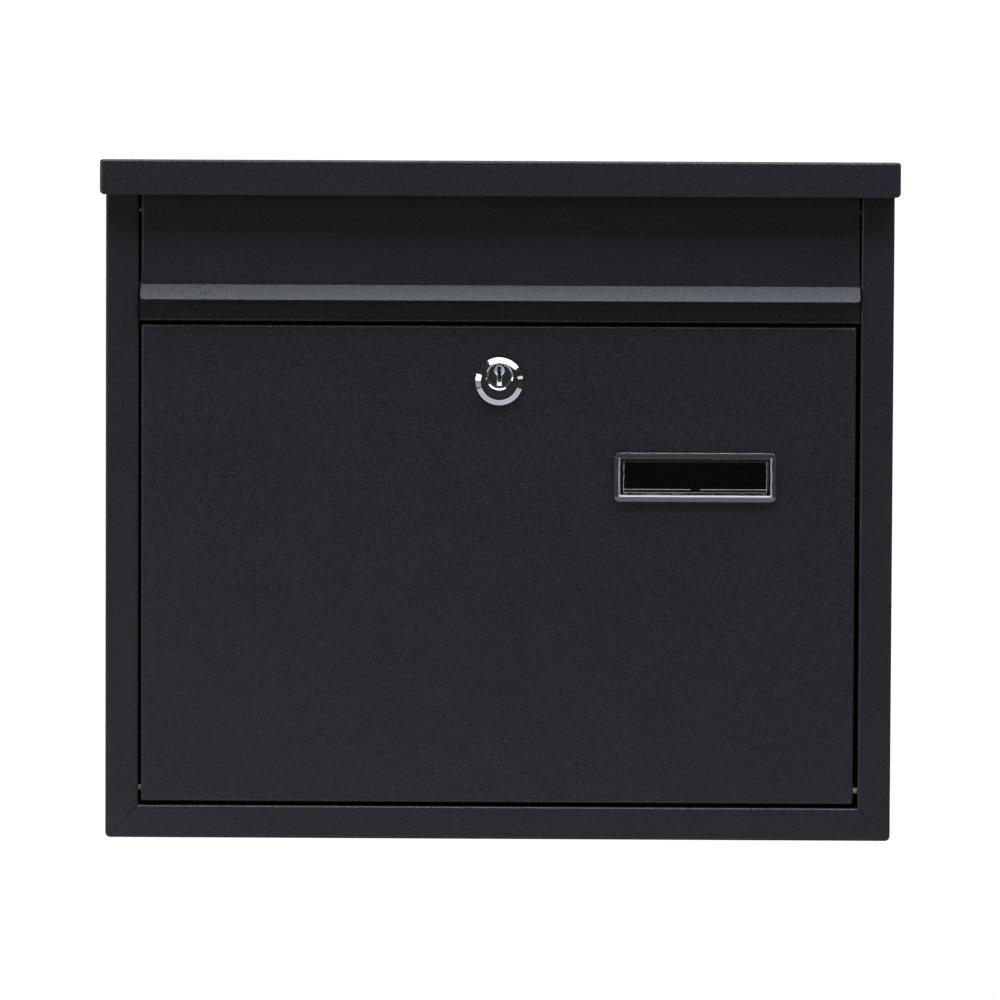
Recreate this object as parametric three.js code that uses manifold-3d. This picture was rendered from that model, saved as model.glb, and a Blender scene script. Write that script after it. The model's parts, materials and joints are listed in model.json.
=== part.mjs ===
// A wall mounted steel mailbox: a folded sheet housing under a canopy, a letter flap that lifts
// outwards, and a drop-down door with a cam lock and a clear name plate.
// Millimetres, +Z up. The origin is the centre of the back panel, on the wall plane; the front faces -Y.
import * as THREE from "three";
import { mergeVertices } from "three/addons/utils/BufferGeometryUtils.js";
import Module from "manifold-3d";

const wasm = await Module();
wasm.setup();

// ---------------------------------------------------------------- driving dimensions
const WIDTH = 360; // housing, outside
const HEIGHT = 310; // underside to the top of the canopy
const DEPTH = 100; // wall plane to the face of the front frame
const SHEET = 0.8; // steel sheet
const BEND = 1.2; // outside radius of a bend
const BEND_STEPS = 2; // facets in a bend
const FIT = 0.3; // gap kept between pieces that touch

const FRAME = 15; // width of the front frame
const RETURN_DEPTH = 10; // the frame's edge folded back into the box
const CORNER = 2.3; // outside radius where a side wall turns into the bottom
const MITRE_SHARE = 0.62; // how much of each bottom mitre stays an open slit
const MITRE_SLIT = 0.35;
const WALL_HEM = 12; // the side walls' top edges, folded in under the canopy

const CANOPY_OVERHANG = 10; // ahead of the frame
const CANOPY_SIDE = 1.8; // beyond each side wall
const CANOPY_LIP = 16; // front lip
const CANOPY_SIDE_LIP = 13.5;
const CANOPY_BEND = 1.4;
const CANOPY_LIP_CORNER = 2.2; // lower front corners

const RAIL_BOTTOM = 236.8; // heights above the underside
const RAIL_TOP = 254.8;
const RAIL_SETBACK = 1.9; // behind the face of the frame
const RAIL_LEDGE = 10; // top flange
const STRIKE_SETBACK = 13.6; // rear face of the strike, behind the face of the frame
const STRIKE_DROP = 6.8; // how far the strike hangs below the rail

const FLAP_WIDTH = 328.1;
const FLAP_SHIFT = 0.25; // sideways play taken up, as hung
const FLAP_SETBACK = 0.6;
const FLAP_TOP = 296;
const FLAP_BEND = 253.4; // where the lip starts
const FLAP_LIP_BOTTOM = 246.3;
const FLAP_LIP_REACH = 5.9;
const FLAP_EAR = 8.4; // depth of the folded ends that hold the pins
const FLAP_EAR_BOTTOM = 258;
const FLAP_PIVOT = { y: -DEPTH + 5, z: 288 };

const DOOR_WIDTH = 326.7;
const DOOR_SHIFT = -0.4;
const DOOR_SETBACK = 0.3;
const DOOR_BOTTOM = 16.8;
const DOOR_TOP = 235.3;
const DOOR_FLANGE = 12;
const DOOR_CORNER = 1.4;
const DOOR_PIVOT = { y: -DEPTH + 4.8, z: 22.7 };

const DOOR_PIN = { radius: 1.3, head: 2.8, headThick: 1, grip: 4 };
const FLAP_PIN = { radius: 1.1, head: 2.4, headThick: 0.9, grip: 3.6 };
const PIN_CLEARANCE = 0.2;

const LOCK_HEIGHT = 209.9; // axis of the barrel
const PLUG_RISE = 2.3; // the plug turns above the barrel's axis
const BARREL = { radius: 9.45, flat: 8, length: 12.4 };
const BEZEL = { radius: 10.9, face: 8.6, rim: 1.1, height: 2.6 };
const BORE = 5.5;
const BORE_MOUTH = 6.2; // the bore's chamfered edge
const PLUG = { radius: 5.3, recess: 0.5 };
const KEYWAY = { width: 1.8, top: 4.5, bottom: -2.6, depth: 11 };
const PLUG_STUD = 6.4; // square that drives the cam
const CAM = { length: 25, hub: 7.5, tip: 5, thick: 2 };
const CAM_STEPS = 6;
const STOP_WASHER = { radius: 6.2, ear: 7.4, earWidth: 4, thick: 0.8 };
const CAM_TURN = 90; // degrees between its stops
const NUT = { acrossFlats: 22, thick: 5 };
const STAR_WASHER = { radius: 12.2, thick: 0.8, teeth: 12, tooth: 1 };
const CAM_SCREW = { radius: 2, head: 4, headThick: 2.4, length: 7.5 };
const CAM_WASHER = { radius: 4.6, thick: 0.8 };
const PIN_STACKS = { count: 4, pitch: 2.5, radius: 1, first: 2.4, driver: 2, spring: 2.6, gap: 0.1 };
const KEY_PIN_TIPS = [1.5, 2.3, 1.2, 1.9]; // how far each key pin stands into the keyway
const KEY_PIN_POINT = 0.35;
const SPRING = { wire: 0.17, turns: 3, steps: 24 };

const PLATE = { x: 89.7, z: 166.5, width: 73.9, height: 22.5, corner: 2.4, proud: 2 };
const PANE = { width: 68.6, height: 16.4, recess: 0.8 };
const COLLAR = { width: 67, height: 15.6, wall: 0.9, depth: 3.4 };
const CARD_LEDGE = { height: 1.35, thick: 1, notch: 4.5 };
const RETAINER = { width: 72, height: 20.8, thick: 1.5 };

const WALL_HOLES = { spanX: 260, spanZ: 200, radius: 3.5 };
const DRAIN = { x: 120, y: -50, radius: 2.5 };
const BACK_FLANGE = 12;

const ROUND = 32; // sides of a large cylinder
const SMALL_ROUND = 16; // sides of a hinge pin
const TINY_ROUND = 10; // sides of a lock pin

// ---------------------------------------------------------------- places worked out from them
const wallTop = HEIGHT - SHEET - FIT;
const openingHalf = WIDTH / 2 - FRAME;
const frontY = -DEPTH;
const doorFace = frontY + DOOR_SETBACK;
const lockSeat = doorFace - FIT / 3; // back of the bezel
const bezelFace = lockSeat - BEZEL.height;
const barrelRear = doorFace + BARREL.length;
const plugZ = LOCK_HEIGHT + PLUG_RISE;
const plugFace = bezelFace + PLUG.recess;
const washerFront = barrelRear + FIT;
const stopRear = washerFront + STOP_WASHER.thick;
const camFront = stopRear + FIT;
const camRear = camFront + CAM.thick;
const screwSeat = camRear + FIT + CAM_WASHER.thick + FIT / 2;
const screwTip = screwSeat - CAM_SCREW.length;
const MARGIN = 5; // how far a cutter runs past the solid it cuts

// ---------------------------------------------------------------- shapes and solids
function solidOf(geometry) {
  geometry.deleteAttribute("normal");
  geometry.deleteAttribute("uv");
  const merged = mergeVertices(geometry, 1e-4);
  return new wasm.Manifold(
    new wasm.Mesh({
      numProp: 3,
      vertProperties: merged.attributes.position.array,
      triVerts: new Uint32Array(merged.index.array),
    }),
  );
}

function geometryOf(solid) {
  const mesh = solid.getMesh();
  const geometry = new THREE.BufferGeometry();
  geometry.setAttribute("position", new THREE.BufferAttribute(mesh.vertProperties, 3));
  geometry.setIndex(new THREE.BufferAttribute(mesh.triVerts, 1));
  geometry.computeVertexNormals();
  return geometry;
}

function joined(...solids) {
  return solids.reduce((all, one) => all.add(one));
}

function cut(solid, ...cutters) {
  return cutters.reduce((rest, cutter) => rest.subtract(cutter), solid);
}

// A block between two corners.
function block(x0, x1, y0, y1, z0, z1) {
  const geometry = new THREE.BoxGeometry(x1 - x0, y1 - y0, z1 - z0);
  geometry.translate((x0 + x1) / 2, (y0 + y1) / 2, (z0 + z1) / 2);
  return solidOf(geometry);
}

// A cylinder along Y, from y0 to y1.
function discY(radius, x, z, y0, y1, sides = ROUND, frontRadius = radius) {
  const geometry = new THREE.CylinderGeometry(radius, frontRadius, y1 - y0, sides);
  geometry.translate(x, (y0 + y1) / 2, z);
  return solidOf(geometry);
}

// A cylinder along X, from x0 to x1.
function rodX(radius, y, z, x0, x1, sides = SMALL_ROUND) {
  const geometry = new THREE.CylinderGeometry(radius, radius, x1 - x0, sides);
  geometry.rotateZ(Math.PI / 2);
  geometry.translate((x0 + x1) / 2, y, z);
  return solidOf(geometry);
}

// A cylinder along Z, from z0 to z1.
function postZ(radius, x, y, z0, z1, sides = SMALL_ROUND, topRadius = radius) {
  const geometry = new THREE.CylinderGeometry(topRadius, radius, z1 - z0, sides);
  geometry.rotateX(Math.PI / 2);
  geometry.translate(x, y, (z0 + z1) / 2);
  return solidOf(geometry);
}

// A rectangle whose four corner radii run from the bottom left corner round to the top left one.
function rectangle(x0, x1, y0, y1, radii = [0, 0, 0, 0]) {
  const [bottomLeft, bottomRight, topRight, topLeft] = radii;
  const shape = new THREE.Shape();
  const corner = (x, y, radius, from) => {
    if (radius > 0) shape.absarc(x, y, radius, from, from + Math.PI / 2);
    else shape.lineTo(x, y);
  };
  shape.moveTo(x0 + bottomLeft, y0);
  corner(x1 - bottomRight, y0 + bottomRight, bottomRight, -Math.PI / 2);
  corner(x1 - topRight, y1 - topRight, topRight, 0);
  corner(x0 + topLeft, y1 - topLeft, topLeft, Math.PI / 2);
  corner(x0 + bottomLeft, y0 + bottomLeft, bottomLeft, Math.PI);
  return shape;
}

function extruded(shape, depth, round, curveSteps = BEND_STEPS) {
  return new THREE.ExtrudeGeometry(shape, {
    depth: depth - 2 * round,
    bevelEnabled: round > 0,
    bevelThickness: round,
    bevelSize: round,
    bevelOffset: -round,
    bevelSegments: BEND_STEPS,
    curveSegments: curveSteps,
  }).translate(0, 0, round);
}

// A front-view shape (X right, Z up) from rear to front, with its front edges rounded.
function frontPrism(shape, rear, front, round = 0, curveSteps = BEND_STEPS) {
  const behind = round > 0 ? MARGIN : 0;
  const geometry = extruded(shape, rear - front + behind, round, curveSteps);
  geometry.rotateX(Math.PI / 2);
  geometry.translate(0, rear + behind, 0);
  const solid = solidOf(geometry);
  const far = 2 * WIDTH;
  return round > 0 ? solid.subtract(block(-far, far, rear, rear + far, -far, far)) : solid;
}

// The same from front to rear, with its rear edges rounded; the shape is symmetrical about X = 0.
function wallPrism(shape, front, rear, round) {
  const geometry = extruded(shape, rear - front + MARGIN, round);
  geometry.rotateX(Math.PI / 2).rotateZ(Math.PI);
  geometry.translate(0, front - MARGIN, 0);
  const far = 2 * WIDTH;
  return solidOf(geometry).subtract(block(-far, far, front - far, front, -far, far));
}

// A plan-view shape (X right, Y back) from bottom to top, with its top edges rounded.
function planPrism(shape, bottom, top, round = 0) {
  const below = round > 0 ? MARGIN : 0;
  const geometry = extruded(shape, top - bottom + below, round);
  geometry.translate(0, 0, bottom - below);
  const solid = solidOf(geometry);
  const far = 2 * WIDTH;
  return round > 0 ? solid.subtract(block(-far, far, -far, far, bottom - far, bottom)) : solid;
}

// A side-view shape (Y back, Z up) from x0 to x1.
function sidePrism(shape, x0, x1) {
  const geometry = extruded(shape, x1 - x0, 0);
  const toSideView = new THREE.Matrix4().makeBasis(
    new THREE.Vector3(0, 1, 0),
    new THREE.Vector3(0, 0, 1),
    new THREE.Vector3(1, 0, 0),
  );
  geometry.applyMatrix4(toSideView).translate(x0, 0, 0);
  return solidOf(geometry);
}

// The outline of a bent sheet whose middle line runs through the points, every bend rounded.
function bentSheet(points) {
  const middleRadius = BEND - SHEET / 2;
  const line = points.map(([x, y]) => new THREE.Vector2(x, y));
  const sides = [[], []];
  const normalOf = (direction) => new THREE.Vector2(-direction.y, direction.x);
  line.forEach((point, i) => {
    const before = i > 0 ? point.clone().sub(line[i - 1]).normalize() : null;
    const after = i < line.length - 1 ? line[i + 1].clone().sub(point).normalize() : null;
    if (!before || !after) {
      const normal = normalOf(before || after);
      [1, -1].forEach((hand, k) => {
        sides[k].push(point.clone().addScaledVector(normal, (hand * SHEET) / 2));
      });
      return;
    }
    const turn = Math.atan2(before.cross(after), before.dot(after));
    const hand = Math.sign(turn);
    const setback = middleRadius * Math.tan(Math.abs(turn) / 2);
    const centre = point.clone().addScaledVector(before, -setback);
    centre.addScaledVector(normalOf(before), hand * middleRadius);
    for (let step = 0; step <= BEND_STEPS; step++) {
      const out = normalOf(before).rotateAround(new THREE.Vector2(), (turn * step) / BEND_STEPS);
      const radii = [middleRadius - (hand * SHEET) / 2, middleRadius + (hand * SHEET) / 2];
      radii.forEach((radius, k) => {
        sides[k].push(centre.clone().addScaledVector(out, -hand * radius));
      });
    }
  });
  return new THREE.Shape([...sides[0], ...sides[1].reverse()]);
}

// ---------------------------------------------------------------- materials
const blackCoat = new THREE.MeshStandardMaterial({ color: 0x2a2b2f, roughness: 0.55, metalness: 0.1 });
const zinc = new THREE.MeshStandardMaterial({ color: 0xb9bcc0, roughness: 0.3, metalness: 1 });
const chrome = new THREE.MeshStandardMaterial({ color: 0xd8dadd, roughness: 0.08, metalness: 1 });
const brass = new THREE.MeshStandardMaterial({ color: 0xb08a45, roughness: 0.3, metalness: 1 });
const clear = new THREE.MeshStandardMaterial({ color: 0xf2f5f6, roughness: 0.05 });
clear.transparent = true;
clear.opacity = 0.3;
const blackPlastic = new THREE.MeshStandardMaterial({ color: 0x17181a, roughness: 0.5 });

function piece(name, solid, material) {
  const mesh = new THREE.Mesh(geometryOf(solid), material);
  mesh.name = name;
  return mesh;
}

// ---------------------------------------------------------------- housing
// Side walls, bottom and front frame: one sheet wrapped round, its front edge folded in and back.
function bodyShell() {
  const half = WIDTH / 2;
  const tall = 2 * HEIGHT; // trimmed to the walls' height below
  const walls = (inset) => {
    const radius = CORNER - inset;
    return rectangle(-half + inset, half - inset, inset, tall, [radius, radius, 0, 0]);
  };
  const folded = (inset, rear, front, round) => {
    const outline = walls(inset);
    outline.holes.push(rectangle(-openingHalf - inset, openingHalf + inset, FRAME - inset, tall - MARGIN));
    return frontPrism(outline, rear, front, round);
  };
  const hollow = folded(SHEET, MARGIN, frontY + SHEET, BEND - SHEET);
  const behindReturn = frontPrism(walls(SHEET), MARGIN, frontY + RETURN_DEPTH);
  const above = block(-WIDTH, WIDTH, -WIDTH, WIDTH, wallTop, 2 * tall);
  const shell = cut(folded(0, 0, frontY, BEND), hollow, behindReturn, above);

  const hem = (side) => {
    const edges = [side * (half - SHEET / 2), side * (half - WALL_HEM)].sort((a, b) => a - b);
    return block(edges[0], edges[1], frontY + RETURN_DEPTH, -BACK_FLANGE - 1, wallTop - SHEET, wallTop);
  };
  const slit = (side) => {
    const length = MITRE_SHARE * FRAME * Math.SQRT2;
    const geometry = new THREE.BoxGeometry(length + 1, SHEET + BEND + 2, MITRE_SLIT);
    geometry.translate(length / 2 - 0.5, 0, 0);
    geometry.rotateY(Math.PI / 4);
    if (side < 0) geometry.rotateZ(Math.PI);
    geometry.translate(side * openingHalf, frontY, FRAME);
    return solidOf(geometry);
  };
  const pinHole = (side, pin, pivot) => {
    const x = side * (openingHalf + SHEET / 2);
    return rodX(pin.radius + PIN_CLEARANCE, pivot.y, pivot.z, x - 2, x + 2);
  };
  const drain = (x) => postZ(DRAIN.radius, x, DRAIN.y, -MARGIN, MARGIN);
  return cut(
    joined(shell, hem(-1), hem(1)),
    slit(-1),
    slit(1),
    pinHole(-1, DOOR_PIN, DOOR_PIVOT),
    pinHole(1, DOOR_PIN, DOOR_PIVOT),
    pinHole(-1, FLAP_PIN, FLAP_PIVOT),
    pinHole(1, FLAP_PIN, FLAP_PIVOT),
    drain(-DRAIN.x),
    drain(DRAIN.x),
  );
}

// A flat sheet against the wall, its four edges folded forwards inside the wrap.
function backPanel() {
  const half = WIDTH / 2 - SHEET - FIT;
  const bottom = SHEET + FIT;
  const tray = (inset, front, rear, round) => {
    const radius = CORNER - SHEET - inset / 2;
    const radii = Array(4).fill(radius);
    const shape = rectangle(-half + inset, half - inset, bottom + inset, wallTop - inset, radii);
    return wallPrism(shape, front, rear, round);
  };
  const hollow = tray(SHEET, -BACK_FLANGE - MARGIN, -SHEET, BEND - SHEET);
  const holes = [-1, 1].flatMap((sideX) =>
    [-1, 1].map((sideZ) => {
      const z = HEIGHT / 2 + (sideZ * WALL_HOLES.spanZ) / 2;
      return discY(WALL_HOLES.radius, (sideX * WALL_HOLES.spanX) / 2, z, -MARGIN, MARGIN, SMALL_ROUND);
    }),
  );
  return cut(tray(0, -BACK_FLANGE, 0, BEND), hollow, ...holes);
}

// A tray turned upside down, open at the wall, with its side lips cut shorter than the front one.
function canopy() {
  const half = WIDTH / 2 + CANOPY_SIDE;
  const front = frontY - CANOPY_OVERHANG;
  const lipBottom = HEIGHT - CANOPY_LIP;
  const tray = (inset, bottom, top, round) => {
    const radius = round + FIT;
    const shape = rectangle(-half + inset, half - inset, front + inset, 2 * MARGIN, [radius, radius, 0, 0]);
    return planPrism(shape, bottom, top, round);
  };
  const hollow = tray(SHEET, lipBottom - MARGIN, HEIGHT - SHEET, CANOPY_BEND - SHEET);
  const behindWall = block(-WIDTH, WIDTH, 0, WIDTH, 0, 2 * HEIGHT);
  const underSides = block(-WIDTH, WIDTH, front + CANOPY_BEND, WIDTH, 0, HEIGHT - CANOPY_SIDE_LIP);
  const roundedEnds = frontPrism(
    rectangle(-half, half, lipBottom, HEIGHT + MARGIN, [CANOPY_LIP_CORNER, CANOPY_LIP_CORNER, 0, 0]),
    MARGIN,
    front - MARGIN,
  );
  return cut(tray(0, lipBottom, HEIGHT, CANOPY_BEND), hollow, behindWall, underSides).intersect(roundedEnds);
}

// The bar between flap and door: a channel whose rear edge hangs down as the lock's strike.
function crossRail() {
  const end = openingHalf - FIT;
  const web = frontY + RAIL_SETBACK + SHEET / 2;
  const strike = frontY + STRIKE_SETBACK - SHEET / 2;
  const top = RAIL_TOP - SHEET / 2;
  const bottom = RAIL_BOTTOM + SHEET / 2;
  const section = bentSheet([
    [web + RAIL_LEDGE, top],
    [web, top],
    [web, bottom],
    [strike, bottom],
    [strike, RAIL_BOTTOM - STRIKE_DROP],
  ]);
  const tabs = [-1, 1].map((side) => {
    const edges = [side * end, side * (end - SHEET)].sort((a, b) => a - b);
    return block(edges[0], edges[1], web, frontY + RETURN_DEPTH - 1, RAIL_BOTTOM + BEND, RAIL_TOP - BEND);
  });
  return joined(sidePrism(section, -end, end), ...tabs);
}

// ---------------------------------------------------------------- flap
// Drawn about its pivot: the panel hangs in front of it and the lip turns out at the bottom.
function flapPanel() {
  const x0 = FLAP_SHIFT - FLAP_WIDTH / 2;
  const x1 = FLAP_SHIFT + FLAP_WIDTH / 2;
  const middle = frontY + FLAP_SETBACK + SHEET / 2 - FLAP_PIVOT.y;
  const top = FLAP_TOP - FLAP_PIVOT.z;
  const earBottom = FLAP_EAR_BOTTOM - FLAP_PIVOT.z;
  const earEnd = middle - SHEET / 2 + FLAP_EAR;
  const upper = planPrism(
    bentSheet([
      [x0 + SHEET / 2, earEnd],
      [x0 + SHEET / 2, middle],
      [x1 - SHEET / 2, middle],
      [x1 - SHEET / 2, earEnd],
    ]),
    earBottom,
    top,
  );
  const lower = sidePrism(
    bentSheet([
      [middle, earBottom + BEND],
      [middle, FLAP_BEND - FLAP_PIVOT.z],
      [middle - FLAP_LIP_REACH, FLAP_LIP_BOTTOM - FLAP_PIVOT.z],
    ]),
    x0,
    x1,
  );
  const lipCorner = 1.5;
  const lipBottom = FLAP_LIP_BOTTOM - FLAP_PIVOT.z - SHEET / 2;
  const rounding = frontPrism(
    rectangle(x0, x1, lipBottom, top, [lipCorner, lipCorner, 0, 0]),
    2 * MARGIN,
    -3 * MARGIN,
  );
  const holes = [x0, x1].map((x) => rodX(FLAP_PIN.radius + PIN_CLEARANCE, 0, 0, x - 2, x + 2));
  return cut(joined(upper, lower).intersect(rounding), ...holes);
}

// A headed pin through a folded end at x, pointing outwards on that side.
function hingePin(pin, x, side) {
  const inner = x - side * (SHEET + FIT / 2);
  const shank = [inner - side * 0.2, x + side * pin.grip].sort((a, b) => a - b);
  const head = [inner - side * pin.headThick, inner].sort((a, b) => a - b);
  return joined(rodX(pin.radius, 0, 0, ...shank), rodX(pin.head, 0, 0, ...head, 20));
}

// ---------------------------------------------------------------- door
// A tray with its edges folded back, drawn about the hinge pins.
function doorPanel() {
  const half = DOOR_WIDTH / 2;
  const face = doorFace - DOOR_PIVOT.y;
  const bottom = DOOR_BOTTOM - DOOR_PIVOT.z;
  const top = DOOR_TOP - DOOR_PIVOT.z;
  const tray = (inset, rear, front, round) => {
    const shape = rectangle(
      DOOR_SHIFT - half + inset,
      DOOR_SHIFT + half - inset,
      bottom + inset,
      top - inset,
      Array(4).fill(DOOR_CORNER - inset),
    );
    return frontPrism(shape, rear, front, round);
  };
  const outer = tray(0, face + DOOR_FLANGE, face, BEND);
  const hollow = tray(SHEET, face + DOOR_FLANGE + MARGIN, face + SHEET, BEND - SHEET);

  const lockZ = LOCK_HEIGHT - DOOR_PIVOT.z;
  const lockHole = discY(BARREL.radius + FIT, 0, lockZ, face - MARGIN, face + MARGIN).intersect(
    block(-BARREL.flat - FIT, BARREL.flat + FIT, face - MARGIN, face + MARGIN, 0, 2 * lockZ),
  );
  const plateZ = PLATE.z - DOOR_PIVOT.z;
  const windowHole = block(
    PLATE.x - COLLAR.width / 2 - FIT,
    PLATE.x + COLLAR.width / 2 + FIT,
    face - MARGIN,
    face + MARGIN,
    plateZ - COLLAR.height / 2 - FIT,
    plateZ + COLLAR.height / 2 + FIT,
  );
  const ends = [DOOR_SHIFT - half, DOOR_SHIFT + half];
  const pinHoles = ends.map((x) => rodX(DOOR_PIN.radius + PIN_CLEARANCE, 0, 0, x - 2, x + 2));
  return cut(outer, hollow, lockHole, windowHole, ...pinHoles);
}

// ---------------------------------------------------------------- name plate
function framed(part, yFront, yRear, corner = 0) {
  const shape = rectangle(
    -part.width / 2,
    part.width / 2,
    -part.height / 2,
    part.height / 2,
    Array(4).fill(corner),
  );
  return frontPrism(shape, yRear, yFront);
}

// Clear moulding, drawn about the centre of its seat on the door: bezel, pane and a card pocket behind.
function nameplateWindow() {
  const front = -PLATE.proud;
  const bezel = framed(PLATE, front, 0, PLATE.corner);
  const paneRecess = framed(PANE, front - MARGIN, front + PANE.recess);
  const collar = framed(COLLAR, -0.5, SHEET + COLLAR.depth);
  const pocket = framed(
    { width: COLLAR.width - 2 * COLLAR.wall, height: COLLAR.height - 2 * COLLAR.wall },
    -0.2,
    SHEET + COLLAR.depth + MARGIN,
  );
  const rear = SHEET + COLLAR.depth;
  const floor = -COLLAR.height / 2 + COLLAR.wall;
  const halfWidth = COLLAR.width / 2 - COLLAR.wall;
  const ledge = (side) => {
    const edges = [side * (CARD_LEDGE.notch / 2), side * (halfWidth + 0.2)].sort((a, b) => a - b);
    return block(edges[0], edges[1], rear - CARD_LEDGE.thick, rear, floor - 0.2, floor + CARD_LEDGE.height);
  };
  return joined(cut(joined(bezel, collar), paneRecess, pocket), ledge(-1), ledge(1));
}

// The frame pushed over the moulding's collar behind the door.
function nameplateRetainer() {
  const front = SHEET + FIT;
  const outer = framed(RETAINER, front, front + RETAINER.thick, 1);
  const opening = framed(
    { width: COLLAR.width + 2 * FIT, height: COLLAR.height + 2 * FIT },
    front - MARGIN,
    front + MARGIN,
  );
  return cut(outer, opening);
}

// ---------------------------------------------------------------- lock, drawn in place
const stackY = (i) => plugFace + PIN_STACKS.first + i * PIN_STACKS.pitch;
const driverTop = plugZ - BORE - PIN_STACKS.gap;
const springTop = driverTop - PIN_STACKS.driver - PIN_STACKS.gap;

// The bores for the pin stacks, from a height up into the plug.
function pinChambers(bottom) {
  return Array.from({ length: PIN_STACKS.count }, (_, i) =>
    postZ(PIN_STACKS.radius + PIN_CLEARANCE, 0, stackY(i), bottom, plugZ, TINY_ROUND),
  );
}

function camScrewHole(y0, y1) {
  return discY(CAM_SCREW.radius + PIN_CLEARANCE, 0, plugZ, y0, y1, SMALL_ROUND);
}

function lockBarrel() {
  const profile = [
    [0, bezelFace],
    [BEZEL.face, bezelFace],
    [BEZEL.radius, lockSeat - BEZEL.rim],
    [BEZEL.radius, lockSeat],
    [BARREL.radius, lockSeat],
    [BARREL.radius, stopRear],
    [0, stopRear],
  ].map(([radius, y]) => new THREE.Vector2(radius, y));
  const body = solidOf(new THREE.LatheGeometry(profile, ROUND).translate(0, 0, LOCK_HEIGHT));
  const flats = [-1, 1].map((side) => {
    const edges = [side * BARREL.flat, side * 2 * BARREL.radius].sort((a, b) => a - b);
    return block(edges[0], edges[1], lockSeat, stopRear + MARGIN, 0, HEIGHT);
  });
  const bore = discY(BORE, 0, plugZ, bezelFace - MARGIN, stopRear + MARGIN);
  const mouth = discY(BORE, 0, plugZ, bezelFace, bezelFace + PLUG.recess + PIN_CLEARANCE, ROUND, BORE_MOUTH);
  const washerSeat = discY(STOP_WASHER.radius + FIT, 0, plugZ, barrelRear, stopRear + MARGIN);
  const chambers = pinChambers(springTop - PIN_STACKS.spring - FIT);
  return cut(body, ...flats, bore, mouth, washerSeat, earTravel(), ...chambers);
}

// The space behind the barrel that the stop washer's ear sweeps; its two ends are the stops.
function earTravel() {
  const halfEar = Math.asin(STOP_WASHER.earWidth / 2 / STOP_WASHER.radius);
  const halfSweep = THREE.MathUtils.degToRad(CAM_TURN / 2) + halfEar;
  const shape = new THREE.Shape();
  shape.absarc(0, plugZ, 2 * BARREL.radius, Math.PI - halfSweep, Math.PI + halfSweep);
  shape.lineTo(0, plugZ);
  return frontPrism(shape, stopRear + MARGIN, barrelRear);
}

function lockPlug() {
  const body = discY(PLUG.radius, 0, plugZ, plugFace, barrelRear + FIT / 2);
  const stud = block(
    -PLUG_STUD / 2,
    PLUG_STUD / 2,
    barrelRear,
    camRear - FIT / 2,
    plugZ - PLUG_STUD / 2,
    plugZ + PLUG_STUD / 2,
  );
  const slot = block(
    -KEYWAY.width / 2,
    KEYWAY.width / 2,
    plugFace - MARGIN,
    plugFace + KEYWAY.depth,
    plugZ + KEYWAY.bottom,
    plugZ + KEYWAY.top,
  );
  const screwHole = camScrewHole(screwTip - FIT, camRear + MARGIN);
  return cut(joined(body, stud), slot, ...pinChambers(plugZ - 2 * PLUG.radius), screwHole);
}

// A turned pin standing on Z, from [radius, height] pairs that start and end on its axis.
function turnedPin(profile, y) {
  const points = profile.map(([radius, z]) => new THREE.Vector2(radius, z));
  return solidOf(new THREE.LatheGeometry(points, TINY_ROUND).rotateX(Math.PI / 2).translate(0, y, 0));
}

// One stack of pins under the plug: key pin in the plug, driver and spring in the barrel.
function keyPin(i) {
  const foot = plugZ - PLUG.radius + 0.15;
  const tip = plugZ + KEYWAY.bottom + KEY_PIN_TIPS[i];
  const taper = PIN_STACKS.radius - KEY_PIN_POINT;
  const profile = [
    [0, foot],
    [PIN_STACKS.radius, foot],
    [PIN_STACKS.radius, tip - taper],
    [KEY_PIN_POINT, tip],
    [0, tip],
  ];
  return turnedPin(profile, stackY(i));
}

function driverPin(i) {
  return postZ(PIN_STACKS.radius, 0, stackY(i), driverTop - PIN_STACKS.driver, driverTop, TINY_ROUND);
}

class Helix extends THREE.Curve {
  constructor(radius, turns, height) {
    super();
    Object.assign(this, { radius, turns, height });
  }
  getPoint(t, target = new THREE.Vector3()) {
    const angle = 2 * Math.PI * this.turns * t;
    return target.set(this.radius * Math.cos(angle), this.radius * Math.sin(angle), this.height * t);
  }
}

function pinSpring(i) {
  const section = new THREE.Shape();
  section.absarc(0, 0, SPRING.wire, 0, 2 * Math.PI);
  const height = PIN_STACKS.spring - 2 * SPRING.wire;
  const coil = new THREE.ExtrudeGeometry(section, {
    steps: SPRING.steps,
    curveSegments: 2,
    extrudePath: new Helix(PIN_STACKS.radius - 2 * SPRING.wire, SPRING.turns, height),
  });
  return solidOf(coil.translate(0, stackY(i), springTop - PIN_STACKS.spring + SPRING.wire));
}

function barrelHole(front) {
  const clearance = BARREL.radius + PIN_CLEARANCE;
  return discY(clearance, 0, LOCK_HEIGHT, front - MARGIN, front + NUT.thick + MARGIN);
}

function lockNut() {
  const shape = new THREE.Shape();
  const radius = NUT.acrossFlats / Math.sqrt(3);
  for (let i = 0; i < 6; i++) {
    const angle = (i * Math.PI) / 3;
    const x = radius * Math.cos(angle);
    const z = LOCK_HEIGHT + radius * Math.sin(angle);
    if (i) shape.lineTo(x, z);
    else shape.moveTo(x, z);
  }
  const front = doorFace + SHEET + FIT + STAR_WASHER.thick + FIT;
  return cut(frontPrism(shape, front + NUT.thick, front), barrelHole(front));
}

function starWasher() {
  const front = doorFace + SHEET + FIT;
  const shape = new THREE.Shape();
  const count = STAR_WASHER.teeth * 4;
  for (let i = 0; i < count; i++) {
    const inNotch = i % 4 < 2;
    const radius = STAR_WASHER.radius - (inNotch ? STAR_WASHER.tooth : 0);
    const angle = (i * 2 * Math.PI) / count;
    const x = radius * Math.cos(angle);
    const z = LOCK_HEIGHT + radius * Math.sin(angle);
    if (i) shape.lineTo(x, z);
    else shape.moveTo(x, z);
  }
  return cut(frontPrism(shape, front + STAR_WASHER.thick, front), barrelHole(front));
}

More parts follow.
